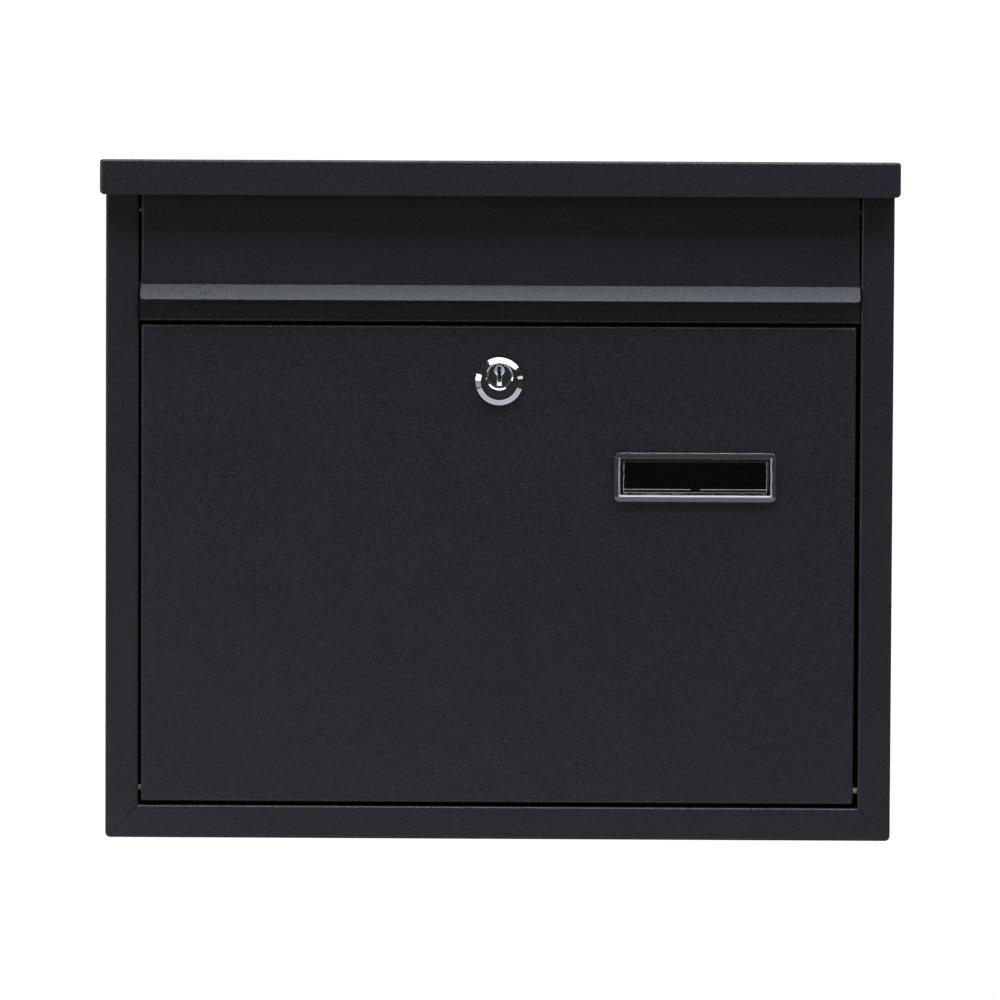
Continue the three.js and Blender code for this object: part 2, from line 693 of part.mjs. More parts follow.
function squareHole(y0, y1) {
  const half = PLUG_STUD / 2 + PIN_CLEARANCE;
  return block(-half, half, y0 - 1, y1 + 1, plugZ - half, plugZ + half);
}

// The washer whose ear meets the stops after a quarter turn; the ear points down and left at rest.
function stopWasher() {
  const disc = discY(STOP_WASHER.radius, 0, plugZ, washerFront, stopRear);
  const ear = solidOf(
    new THREE.BoxGeometry(STOP_WASHER.ear, STOP_WASHER.thick, STOP_WASHER.earWidth)
      .translate(-STOP_WASHER.ear / 2, 0, 0)
      .rotateY(-Math.PI / 4)
      .translate(0, (washerFront + stopRear) / 2, plugZ),
  );
  return cut(joined(disc, ear), squareHole(washerFront, stopRear));
}

// Points left at rest, clear of the strike; a quarter turn clockwise brings it up behind the strike.
function lockCam() {
  const shape = new THREE.Shape();
  const tipX = CAM.tip - CAM.length;
  const lean = Math.asin((CAM.hub - CAM.tip) / -tipX);
  shape.absarc(0, plugZ, CAM.hub, -Math.PI / 2 - lean, Math.PI / 2 + lean);
  shape.absarc(tipX, plugZ, CAM.tip, Math.PI / 2 + lean, (3 * Math.PI) / 2 - lean);
  return cut(frontPrism(shape, camRear, camFront, 0, CAM_STEPS), squareHole(camFront, camRear));
}

function camWasher() {
  const front = camRear + FIT;
  const rear = front + CAM_WASHER.thick;
  return cut(discY(CAM_WASHER.radius, 0, plugZ, front, rear), camScrewHole(front - 1, rear + 1));
}

function camScrew() {
  const rear = screwSeat + CAM_SCREW.headThick;
  const head = discY(CAM_SCREW.head * 0.8, 0, plugZ, screwSeat, rear, 24, CAM_SCREW.head);
  const shank = discY(CAM_SCREW.radius, 0, plugZ, screwTip, screwSeat + 0.1, SMALL_ROUND);
  const cross = [
    block(-0.5, 0.5, rear - 1.4, rear + 1, plugZ - 2, plugZ + 2),
    block(-2, 2, rear - 1.4, rear + 1, plugZ - 0.5, plugZ + 0.5),
  ];
  return cut(joined(head, shank), ...cross);
}

// ---------------------------------------------------------------- assembly
const mailbox = new THREE.Group();
const standing = new THREE.Group(); // heights above the underside
standing.position.z = -HEIGHT / 2;
mailbox.add(standing);

standing.add(
  piece("body_shell", bodyShell(), blackCoat),
  piece("back_panel", backPanel(), blackCoat),
  piece("canopy", canopy(), blackCoat),
  piece("cross_rail", crossRail(), blackCoat),
);

const flapGroup = new THREE.Group();
flapGroup.position.set(0, FLAP_PIVOT.y, FLAP_PIVOT.z);
flapGroup.add(
  piece("flap_panel", flapPanel(), blackCoat),
  piece("flap_pin_left", hingePin(FLAP_PIN, FLAP_SHIFT - FLAP_WIDTH / 2, -1), zinc),
  piece("flap_pin_right", hingePin(FLAP_PIN, FLAP_SHIFT + FLAP_WIDTH / 2, 1), zinc),
);

const doorGroup = new THREE.Group();
doorGroup.position.set(0, DOOR_PIVOT.y, DOOR_PIVOT.z);
doorGroup.add(
  piece("door_panel", doorPanel(), blackCoat),
  piece("door_pin_left", hingePin(DOOR_PIN, DOOR_SHIFT - DOOR_WIDTH / 2, -1), zinc),
  piece("door_pin_right", hingePin(DOOR_PIN, DOOR_SHIFT + DOOR_WIDTH / 2, 1), zinc),
);

const plateGroup = new THREE.Group();
plateGroup.position.set(PLATE.x, doorFace - FIT / 3, PLATE.z);
plateGroup.add(
  piece("nameplate_window", nameplateWindow(), clear),
  piece("nameplate_retainer", nameplateRetainer(), blackPlastic),
);

const lockGroup = new THREE.Group();
lockGroup.add(
  piece("lock_barrel", lockBarrel(), chrome),
  piece("lock_star_washer", starWasher(), zinc),
  piece("lock_nut", lockNut(), zinc),
  piece("lock_plug", lockPlug(), chrome),
  piece("cam_stop_washer", stopWasher(), zinc),
  piece("lock_cam", lockCam(), zinc),
  piece("cam_washer", camWasher(), zinc),
  piece("cam_screw", camScrew(), zinc),
);
for (let i = 0; i < PIN_STACKS.count; i++) {
  lockGroup.add(
    piece(`key_pin_${i + 1}`, keyPin(i), brass),
    piece(`driver_pin_${i + 1}`, driverPin(i), brass),
    piece(`pin_spring_${i + 1}`, pinSpring(i), zinc),
  );
}

standing.add(flapGroup, doorGroup, plateGroup, lockGroup);

export default mailbox;
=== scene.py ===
import json
import math

import bmesh
import bpy
from mathutils import Matrix, Vector

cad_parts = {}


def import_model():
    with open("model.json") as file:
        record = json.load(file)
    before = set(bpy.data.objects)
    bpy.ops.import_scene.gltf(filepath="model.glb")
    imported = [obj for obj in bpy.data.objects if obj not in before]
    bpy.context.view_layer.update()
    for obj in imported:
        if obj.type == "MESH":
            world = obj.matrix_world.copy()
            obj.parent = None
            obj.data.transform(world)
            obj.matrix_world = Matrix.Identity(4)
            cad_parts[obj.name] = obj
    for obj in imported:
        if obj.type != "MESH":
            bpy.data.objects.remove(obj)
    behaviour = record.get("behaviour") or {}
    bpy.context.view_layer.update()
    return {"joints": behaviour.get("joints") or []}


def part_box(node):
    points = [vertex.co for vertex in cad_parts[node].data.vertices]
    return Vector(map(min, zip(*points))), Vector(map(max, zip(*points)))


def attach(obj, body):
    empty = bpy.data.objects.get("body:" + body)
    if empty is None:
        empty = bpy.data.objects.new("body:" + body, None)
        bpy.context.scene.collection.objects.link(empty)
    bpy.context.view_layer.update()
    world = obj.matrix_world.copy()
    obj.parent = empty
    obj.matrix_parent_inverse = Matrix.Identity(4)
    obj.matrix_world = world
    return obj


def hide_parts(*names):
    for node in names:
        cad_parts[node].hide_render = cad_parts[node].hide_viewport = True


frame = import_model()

# -------- sizes, in millimetres
MM = 0.001
WELD = 1e-4  # points closer than this become one
GAP = 0.3  # between a part and the hole it sits in
PLAY = 0.2  # round a pin, stud or thread
THROUGH = 2.0  # how far a cutting tool runs past the part
SHEET = 0.8  # steel sheet
HALF_SHEET = SHEET / 2
BEND = 1.2  # outside radius of a bend
BEND_STEPS = 7
EDGE = 0.2  # how far the coat rounds a cut edge
EDGE_STEPS = 3
CAP_INSET = 16.0  # where a folded tray's flat middle begins
SHELL = {"corner": 2.3, "frame": 15.0, "return": 10.0, "hem": 12.0, "hem_drop": 0.05}
MITRE = {"share": 0.62, "width": 0.3, "taper": 0.4, "tip": 0.3, "depth": 1.1 * BEND}
BACK = {"corner": 1.5, "flange": 12.0}
WALL_HOLES = {"x": 130.0, "z": 100.0, "radius": 3.5}
DRAIN = {"x": 120.0, "y": -50.0, "radius": 2.5}
CANOPY = {"front_bend": 1.4, "corner": 1.7, "side_lip": 13.5, "side_start": 2.6, "lip_corner": 2.2}
RAIL = {"ledge": 10.0, "strike_drop": 6.8, "tab": 7.0, "tab_inset": 0.02}
FLAP = {"setback": 0.6, "ear_drop": 30.0, "corner": 2.2, "edge_rise": 0.3}
FLAP_LIP = {"height": 7.1, "reach": 5.9, "bend": 1.6, "bend_steps": 9}
HINGE_PINS = {"flap": 1.1, "door": 1.3}
PIN = {"head": 1.0, "head_round": 0.3, "tip_round": 0.35, "chamfer": 0.12}
PIN_GROOVE = (0.56, 0.58, 0.63, 0.65)  # shares of the pin's length
DOOR = {"corner": 1.3, "hole_corner": 0.6}
NOTCH = {"start": 0.5, "end": 2.0, "half_width": 0.3, "depth": 0.55}
PLATE = {"proud": 2.0, "corner": 2.4, "bead": 1.5, "rim": 0.75, "soft": 0.25}
PANE = {"half": (34.3, 8.2), "corner": 0.5, "recess": 0.8, "step": 0.8}
COLLAR = {"half": (33.5, 7.8), "corner": 0.5, "wall": 0.9}
LEDGE = {"height": 1.35, "thick": 1.0, "notch": 4.5, "inset": 0.02, "root": 0.3}
RETAINER = {"corner": 1.0, "soft": 0.3}
BEZEL = {"radius": 10.9, "face": 8.6, "height": 2.6, "slope": 1.5, "crown": 0.06, "rings": 4}
BORE = {"radius": 5.5, "mouth": 6.2, "chamfer": 0.7}
THREAD = {"radius": 9.45, "depth": 0.45, "pitch": 1.0}
FLAT = 8.0  # half the width across the barrel's flats
KEYWAY = {"width": 1.8, "top": 4.5, "bottom": -2.6, "depth": 11.0, "ward": 0.5}
WARD = {"low": 2.55, "high": 3.15, "slope": 0.15}
KEY_ENTRY = {"radius": 2.36, "rise": 2.6, "depth": 1.1}
KEY_RAMP = {"half_width": 1.1, "foot": -4.15, "heel": -1.6, "top": 0.4, "depth": 1.5}
STUD = 6.4  # square that drives the cam
STOP = {"radius": 6.2, "ear": 7.4, "ear_width": 4.0, "turn": 225.0}
CAM_TURN = 90.0
CAM_TIP = 5.0
STAR = {"teeth": 12, "tooth": 1.1, "root": 1.6, "thick": 0.26, "twist": 0.13, "gap": 0.45, "middle": 0.72}
SCREW = {"radius": 2.0, "head": 2.4, "rim": 0.9, "pitch": 0.7}
CROSS_SLOT = {"long": 2.0, "short": 0.45, "depth": 1.3}
PIN_COUNT = 4
PIN_RADIUS = 1.0
PIN_SOFT = 0.25
KEY_PIN_POINT = 0.35
SPRING_WIRE = 0.13
SPRING_TURNS = 6


# -------- measures of the frame
def node_box(name):
    """Lowest and highest corner of a CAD node, in millimetres."""
    low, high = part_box(name)
    return low / MM, high / MM


def centre_of(name):
    low, high = node_box(name)
    return (low + high) / 2


def hinge_of(body):
    """A point on the body's hinge line."""
    joint = next(j for j in frame["joints"] if j["name"] == f"{body}_hinge")
    return Vector(joint["pos_m"]) / MM


def half_size(low, high):
    return (high.x - low.x) / 2, (high.z - low.z) / 2


def grown(half, amount):
    """A half width and half height, both larger by an amount."""
    return half[0] + amount, half[1] + amount


LOCK = centre_of("lock_nut")
PLUG = centre_of("lock_plug")


# -------- outlines
def arc(centre, radius, start, end, steps):
    """Points of an arc, angles in degrees."""
    points = []
    for i in range(steps + 1):
        angle = math.radians(start + (end - start) * i / steps)
        points.append((centre[0] + radius * math.cos(angle), centre[1] + radius * math.sin(angle)))
    return points


def dome(radius, base, height, step):
    """Turned points of a dome or dish between its rim and its pole; step in degrees."""
    angles = [math.radians(degrees) for degrees in range(step, 90, step)]
    return [(radius * math.cos(angle), base + height * math.sin(angle)) for angle in angles]


def rounded_rectangle(middle, half, corner, steps=6):
    """Closed outline about a middle; its number of points doesn't depend on the corner."""
    r = max(corner, 0.0)
    x, z = grown(half, -r)
    points = []
    for side, rise, start in ((-1, -1, 180), (1, -1, 270), (1, 1, 0), (-1, 1, 90)):
        points += arc((middle.x + side * x, middle.z + rise * z), r, start, start + 90, steps)
    return points


def u_path(x0, x1, bottom, top, radius):
    """Open outline down the left side, along the bottom and up the right side."""
    r = max(radius, 0.0)
    left = arc((x0 + r, bottom + r), r, 180, 270, 8)
    right = arc((x1 - r, bottom + r), r, 270, 360, 8)
    return [(x0, top), *left, *right, (x1, top)]


def sheet_faces(middle, bend, steps):
    """The left and right face of a bent sheet, from the corners of its middle line."""
    line = [Vector(point) for point in middle]
    mid_radius = bend - HALF_SHEET
    faces = []
    for hand in (1, -1):
        face = []
        for i, point in enumerate(line):
            before = (point - line[max(i - 1, 0)]).normalized()
            after = (line[min(i + 1, len(line) - 1)] - point).normalized()
            if i in (0, len(line) - 1):
                along = before + after  # one of the two is zero here
                face.append(point + Vector((-along.y, along.x)) * hand * HALF_SHEET)
                continue
            turn = math.atan2(before.cross(after), before.dot(after))
            side = math.copysign(1, turn)
            left = Vector((-before.y, before.x))
            centre = point - before * mid_radius * math.tan(abs(turn) / 2) + left * side * mid_radius
            for k in range(steps + 1):
                normal = Matrix.Rotation(turn * k / steps, 2) @ left
                face.append(centre - normal * side * (mid_radius - side * hand * HALF_SHEET))
        faces.append([tuple(point) for point in face])
    return faces


def rounded_end(left, right, before):
    """The coated edge of a sheet between the ends of its two faces; before is a point further in."""
    left, right = Vector(left), Vector(right)
    half = (right - left) / 2
    centre = left + half
    along = (centre - Vector(before)).normalized() * EDGE
    round_start = half.length - EDGE
    across_edge = half.normalized()
    angles = [math.radians(90 * step / EDGE_STEPS) for step in range(EDGE_STEPS + 1)]
    points = []
    for side, turn in ((-1, angles), (1, reversed(angles))):
        for angle in turn:
            out = across_edge * side * (round_start + EDGE * math.cos(angle))
            points.append(tuple(centre - along + out + along * math.sin(angle)))
    return points


def sheet_outline(middle, bend=BEND, steps=BEND_STEPS):
    """Closed outline of a bent sheet with rounded cut edges, from its middle line."""
    left, right = sheet_faces(middle, bend, steps)
    far_end = rounded_end(left[-1], right[-1], middle[-2])
    near_end = rounded_end(right[0], left[0], middle[1])
    return left[1:-1] + far_end + right[-2:0:-1] + near_end


def tray_outline(middle, bend=BEND):
    """From the middle of a tray's outer face round its rim to the inner face: (inset, depth) pairs."""
    left, right = sheet_faces(middle, bend, BEND_STEPS)
    return left[:-1] + rounded_end(left[-1], right[-1], middle[-2]) + right[-2::-1]


# -------- solids
def about(x, z):
    """Places an outline and a depth about an axis along Y through x, z."""
    return lambda u, v, depth: Vector((x + u, depth, z + v))


def across(y, z):
    """The same about an axis along X."""
    return lambda u, v, depth: Vector((depth, y + u, z + v))


def upright(x, y):
    """The same about an axis along Z."""
    return lambda u, v, depth: Vector((x + u, y + v, depth))


front_view, side_view, plan_view = about(0, 0), across(0, 0), upright(0, 0)


def placed(outline, place, depth):
    return [place(u, v, depth) for u, v in outline]


def loft(bm, rows, wrap_rows=False, wrap_points=False, cap_rows=False, cap_ends=False):
    """Quads between rows of points; the caps close the first and last row, or the rows' ends."""
    grid = [[bm.verts.new(point) for point in row] for row in rows]
    row_pairs = list(zip(grid, grid[1:]))
    if wrap_rows:
        row_pairs.append((grid[-1], grid[0]))
    for upper, lower in row_pairs:
        count = len(upper)
        for j in range(count if wrap_points else count - 1):
            k = (j + 1) % count
            bm.faces.new((upper[j], upper[k], lower[k], lower[j]))
    if cap_rows:
        bm.faces.new(grid[0])
        bm.faces.new(reversed(grid[-1]))
    if cap_ends:
        bm.faces.new([row[0] for row in grid])
        bm.faces.new([row[-1] for row in reversed(grid)])
    return grid


def prism(bm, outline, place, depths):
    """A closed outline of (u, v) pairs carried through the depths."""
    rows = [placed(outline, place, depth) for depth in depths]
    loft(bm, rows, wrap_points=True, cap_rows=True)


def box(bm, low, high):
    outline = [(low[0], low[2]), (high[0], low[2]), (high[0], high[2]), (low[0], high[2])]
    prism(bm, outline, front_view, (low[1], high[1]))


def lathe(bm, profile, place, steps):
    """A turned solid: profile of (radius, depth) pairs that starts and ends on the axis."""
    rows = []
    for radius, depth in profile:
        ring = arc((0, 0), max(radius, 1e-6), 0, 360, steps)[:-1]
        rows.append(placed(ring, place, depth))
    loft(bm, rows, wrap_points=True, cap_rows=True)


def drill(bm, radius, start, end, place, steps=32):
    """A plain round tool for cutting a hole."""
    lathe(bm, [(0, start), (radius, start), (radius, end), (0, end)], place, steps)


def hinge_bores(bm, body, sheets):
    """Tools for the holes of a body's hinge pins through the sheets at the given X."""
    hinge = hinge_of(body)
    for x in sheets:
        drill(bm, HINGE_PINS[body] + PLAY, x - THROUGH, x + THROUGH, across(hinge.y, hinge.z))


def solid(build, *shape, **options):
    """A new bmesh with the solid that build makes in it."""
    bm = bmesh.new()
    build(bm, *shape, **options)
    return bm


# -------- pieces
def link_object(name, data):
    obj = bpy.data.objects.new(name, data)
    bpy.context.scene.collection.objects.link(obj)
    return obj


def piece_from(name, bm):
    """An object, still in millimetres, from a bmesh; finish_piece brings it to metres."""
    bmesh.ops.remove_doubles(bm, verts=bm.verts, dist=WELD)
    bmesh.ops.dissolve_degenerate(bm, dist=WELD, edges=bm.edges)
    bmesh.ops.recalc_face_normals(bm, faces=bm.faces)
    if bm.calc_volume(signed=True) < 0:
        bmesh.ops.reverse_faces(bm, faces=bm.faces)
    mesh = bpy.data.meshes.new(name)
    bm.to_mesh(mesh)
    bm.free()
    return link_object(name, mesh)


def ring_piece(name, rows):
    """A piece with a hole through it, from rows that run round its section."""
    return piece_from(name, solid(loft, rows, wrap_rows=True, wrap_points=True))


def apply_modifiers(obj):
    depsgraph = bpy.context.evaluated_depsgraph_get()
    result = bpy.data.meshes.new_from_object(obj.evaluated_get(depsgraph))
    obj.modifiers.clear()
    old = obj.data
    obj.data = result
    result.name = old.name
    bpy.data.meshes.remove(old)


def combine(obj, bm, operation="DIFFERENCE"):
    """Cuts the bmesh's solids out of obj, or joins them to it."""
    tool = piece_from("tool", bm)
    modifier = obj.modifiers.new("combine", "BOOLEAN")
    modifier.operation = operation
    modifier.solver = "EXACT"
    modifier.object = tool
    apply_modifiers(obj)
    bpy.data.objects.remove(tool)


def finish_piece(obj, look, body, node, edge=0.0, sharp=35, segments=2):
    """Brings the piece to metres, rounds its edges, smooths it and hands it to the frame."""
    material, slot = look
    obj.data.transform(Matrix.Scale(MM, 4))
    if edge > 0:
        bevel = obj.modifiers.new("edges", "BEVEL")
        bevel.width = edge * MM
        bevel.segments = segments
        bevel.limit_method = "ANGLE"
        bevel.angle_limit = math.radians(sharp)
        bevel.use_clamp_overlap = True
        bevel.miter_outer = "MITER_ARC"
        apply_modifiers(obj)
    obj.data.shade_smooth()
    obj.data.set_sharp_from_angle(angle=math.radians(sharp))
    weighted = obj.modifiers.new("normals", "WEIGHTED_NORMAL")
    weighted.keep_sharp = True
    weighted.weight = 90
    obj.data.materials.clear()
    obj.data.materials.append(material)
    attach(obj, body)
    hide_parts(node)


# -------- shader nodes
# Each new node joins the node tree that the given socket belongs to.
def new_material(name, **values):
    """A Principled material and its coordinates; each value is set on the shader's own socket."""
    material = bpy.data.materials.new(name)
    material.use_nodes = True
    tree = material.node_tree
    shader = tree.nodes["Principled BSDF"]
    for socket, value in values.items():
        shader.inputs[socket.replace("_", " ")].default_value = value
    return material, shader, tree.nodes.new("ShaderNodeTexCoord").outputs["Object"]


def noise_node(coordinates, scale, detail, roughness):
    """Noise whose scale is in waves per metre."""
    tree = coordinates.id_data
    node = tree.nodes.new("ShaderNodeTexNoise")
    node.inputs["Scale"].default_value = scale
    node.inputs["Detail"].default_value = detail
    node.inputs["Roughness"].default_value = roughness
    tree.links.new(coordinates, node.inputs["Vector"])
    return node.outputs["Fac"]


def ramp_node(factor, *stops):
    """Blends between (position, colour) stops; a plain number stands for a grey."""
    tree = factor.id_data
    node = tree.nodes.new("ShaderNodeValToRGB")
    elements = node.color_ramp.elements
    while len(elements) < len(stops):
        elements.new(0.5)
    for element, (position, colour) in zip(elements, stops):
        element.position = position
        element.color = (*(colour if isinstance(colour, tuple) else (colour,) * 3), 1.0)
    tree.links.new(factor, node.inputs["Fac"])
    return node.outputs["Color"]


def drive(shader, socket, factor, *stops):
    """Runs one of the shader's sockets from a factor, through a ramp."""
    factor.id_data.links.new(ramp_node(factor, *stops), shader.inputs[socket])


def add_bump(shader, *layers):
    """Relief from (height, strength, distance) layers, the finest first."""
    tree, normal = shader.id_data, shader.inputs["Normal"]
    for height, strength, distance in layers:
        node = tree.nodes.new("ShaderNodeBump")
        node.inputs["Strength"].default_value = strength
        node.inputs["Distance"].default_value = distance
        tree.links.new(height, node.inputs["Height"])
        tree.links.new(node.outputs["Normal"], normal)
        normal = node.inputs["Normal"]


def math_node(operation, first, *others):
    """One maths step; first is a socket, each of the others a socket or a number."""
    tree = first.id_data
    node = tree.nodes.new("ShaderNodeMath")
    node.operation = operation
    for socket, value in zip(node.inputs, (first, *others)):
        if isinstance(value, (int, float)):
            socket.default_value = value
        else:
            tree.links.new(value, socket)
    return node.outputs[0]


def times(first, second):
    return math_node("MULTIPLY", first, second)


def either(first, *others):
    """The largest of the masks."""
    for other in others:
        first = math_node("MAXIMUM", first, other)
    return first


def beyond(value, limit):
    """1 where a distance is over a limit in millimetres, else 0."""
    return math_node("GREATER_THAN", value, limit * MM)


def band(value, start, end):
    """1 where a distance lies between two limits in millimetres, else 0."""
    return math_node("SUBTRACT", beyond(value, start), beyond(value, end))


def signed_distance(at, axis, centre):
    """Distance in metres from a plane across the axis, in Object coordinates."""
    split = at.id_data.nodes.new("ShaderNodeSeparateXYZ")
    at.id_data.links.new(at, split.inputs[0])
    return math_node("SUBTRACT", split.outputs[axis], centre * MM)


# -------- materials
def powder_coat():
    """Charcoal powder coat: fine orange peel, a sparkle of paler grains, faintly bluish."""
    material, shader, at = new_material("powder_coat_charcoal", Specular_IOR_Level=0.7)
    dark, pale, sparkle = (0.0150, 0.0148, 0.0178), (0.0370, 0.0366, 0.0440), (0.06, 0.058, 0.056)
    grain = noise_node(at, 1900, 2.0, 0.6)
    clouds = noise_node(at, 30, 1.0, 0.5)
    coat = ramp_node(math_node("MULTIPLY_ADD", clouds, 0.1, grain), (0.40, dark), (0.70, pale))
    specks = ramp_node(noise_node(at, 760, 1.0, 0.5), (0.76, 0.0), (0.80, sparkle))
    tree = material.node_tree
    colour = tree.nodes.new("ShaderNodeMixRGB")
    colour.blend_type = "ADD"
    colour.inputs["Fac"].default_value = 1.0
    tree.links.new(coat, colour.inputs["Color1"])
    tree.links.new(specks, colour.inputs["Color2"])
    tree.links.new(colour.outputs["Color"], shader.inputs["Base Color"])
    drive(shader, "Roughness", grain, (0.35, 0.34), (0.65, 0.46))
    peel = noise_node(at, 1500, 1.0, 0.5)
    fine = noise_node(at, 3000, 2.0, 0.6)
    add_bump(shader, (fine, 0.5, 0.00012), (peel, 0.45, 0.0004))
    return material


def plated_metal(name, colour, roughness, metallic=1.0, marks=0.05):
    """Plated or turned metal with faint wear in its gloss and fine tool marks."""
    material, shader, at = new_material(name, Metallic=metallic)
    smear = noise_node(at, 420, 3.0, 0.6)
    drive(shader, "Base Color", smear, (0.3, tuple(0.93 * c for c in colour)), (0.7, colour))
    drive(shader, "Roughness", smear, (0.3, 0.85 * roughness), (0.7, 1.15 * roughness))
    add_bump(shader, (noise_node(at, 2400, 2.0, 0.5), marks, 0.00004))
    return material


def turned_chrome():
    """Bright chrome over the fine rings that turning left round the bezel's axis."""
    material, shader, at = new_material("chrome_turned_bezel", Metallic=1.0)
    x, z = signed_distance(at, "X", LOCK.x), signed_distance(at, "Z", LOCK.z)
    radius = math_node("SQRT", math_node("ADD", times(x, x), times(z, z)))
    outward = material.node_tree.nodes.new("ShaderNodeCombineXYZ")
    material.node_tree.links.new(radius, outward.inputs["X"])
    rings = noise_node(outward.outputs[0], 1300, 1.0, 0.5)
    drive(shader, "Base Color", rings, (0.36, (0.56, 0.57, 0.60)), (0.62, (0.86, 0.87, 0.89)))
    drive(shader, "Roughness", noise_node(at, 420, 3.0, 0.6), (0.3, 0.05), (0.7, 0.10))
    return material


def plug_chrome():
    """Polished face; the key entry behind it has a satin roughness and a near-white, barely metallic colour
    that is a painted highlight.
    """
    material, shader, at = new_material("chrome_plug_face")
    satin_entry_painted_highlight = beyond(signed_distance(at, "Y", node_box("lock_plug")[0].y), 0.06)
    # painted highlight: near-white and barely metallic behind the face, so the key entry reads bright
    drive(shader, "Base Color", satin_entry_painted_highlight, (0.0, (0.78, 0.79, 0.81)), (1.0, 0.97))
    drive(shader, "Roughness", satin_entry_painted_highlight, (0.0, 0.07), (1.0, 0.4))
    drive(shader, "Metallic", satin_entry_painted_highlight, (0.0, 1.0), (1.0, 0.15))
    return material


def clear_plastic():
    """Clear plastic with slight waves and scuffed gloss; its rim, the band below the pane, the pane's step
    and the card ledges are whitened as painted highlights.
    """
    material, shader, at = new_material("clear_plastic_moulded", IOR=1.59)
    plate, front = centre_of("nameplate_window"), node_box("nameplate_window")[0].y
    waves = noise_node(at, 160, 2.0, 0.5)
    scuffs_and_highlight_gaps = noise_node(at, 900, 4.0, 0.7)
    wander = math_node("MULTIPLY_ADD", waves, 0.9 * MM, -0.45 * MM)
    beside = math_node("ADD", math_node("ABSOLUTE", signed_distance(at, "X", plate.x)), wander)
    height = signed_distance(at, "Z", plate.z)
    below, away = times(height, -1.0), math_node("ABSOLUTE", height)
    depth = signed_distance(at, "Y", front)

    pane_x, pane_z = grown(PANE["half"], PANE["step"])
    pocket_x, pocket_z = grown(COLLAR["half"], -COLLAR["wall"])
    shelf, slot = pocket_z - LEDGE["height"], LEDGE["notch"] / 2
    step = PANE["step"] - 0.1
    sides = times(band(beside, pane_x - step, pane_x), band(away, -1, pane_z))
    sill = times(band(below, pane_z - step, pane_z), band(beside, -1, pane_x))
    posts = times(band(beside, pocket_x - 0.1, pocket_x + 0.2), band(away, -1, pocket_z))
    # the scuff noise breaks the painted highlight along the posts into patches
    patchy_post_highlights = times(posts, math_node("GREATER_THAN", scuffs_and_highlight_gaps, 0.44))
    shelves = times(band(below, shelf - 0.15, shelf + 0.2), band(beside, slot, pocket_x))
    base = times(band(below, pocket_z - 0.05, pocket_z + 0.15), band(beside, -1, pocket_x))
    on_pane = band(depth, PANE["recess"] - 0.2, PANE["recess"] + 0.3)
    ledge_highlights = times(either(patchy_post_highlights, shelves, base), on_pane)
    rim = either(beyond(beside, pane_x), beyond(away, pane_z))
    foot = beyond(below, pane_z)
    # painted highlights: grey on the rim, paler below the pane, white along the pane's step and over the
    # ledges, posts and pocket base
    painted_highlights = either(times(rim, 0.5), times(foot, 0.7), sides, sill, ledge_highlights)

    # the painted highlights lighten the base colour and lower the transmission
    drive(shader, "Base Color", painted_highlights, (0.0, (0.96, 0.965, 0.97)), (0.5, (0.5, 0.51, 0.52)), (1.0, 0.9))
    drive(shader, "Transmission Weight", painted_highlights, (0.0, 1.0), (0.5, 0.88), (1.0, 0.35))
    drive(shader, "Roughness", scuffs_and_highlight_gaps, (0.5, 0.02), (0.8, 0.12))
    add_bump(shader, (waves, 0.12, 0.00012))
    return material


def black_plastic():
    material, shader, at = new_material("black_plastic_moulded")
    grain = noise_node(at, 1500, 3.0, 0.6)
    drive(shader, "Base Color", grain, (0.3, 0.012), (0.7, 0.02))
    drive(shader, "Roughness", grain, (0.3, 0.38), (0.7, 0.5))
    add_bump(shader, (grain, 0.2, 0.0001))
    return material


# Each look is a material and the record's slot that it stands for.
COAT = (powder_coat(), "powder_coat")
TURNED_CHROME = (turned_chrome(), "bright_chrome")
PLUG_CHROME = (plug_chrome(), "bright_chrome")
ZINC = (plated_metal("zinc_plate_satin", (0.72, 0.71, 0.69), 0.42, 0.7, 0.15), "zinc_plate")
# A near-white, barely metallic copy of the zinc plate: a painted highlight that keeps the shaded hinge pins
# bright
PIN_ZINC_PAINTED_BRIGHT = (plated_metal("pin_zinc_painted_bright", (0.95, 0.92, 0.85), 0.5, 0.1), "zinc_plate")
BRASS = (plated_metal("turned_brass", (0.62, 0.42, 0.16), 0.28, marks=0.15), "brass_pins")
SPRING = (plated_metal("spring_wire", (0.5, 0.5, 0.5), 0.35), "spring_steel")
CLEAR = (clear_plastic(), "clear_plastic")
BLACK = (black_plastic(), "black_plastic")


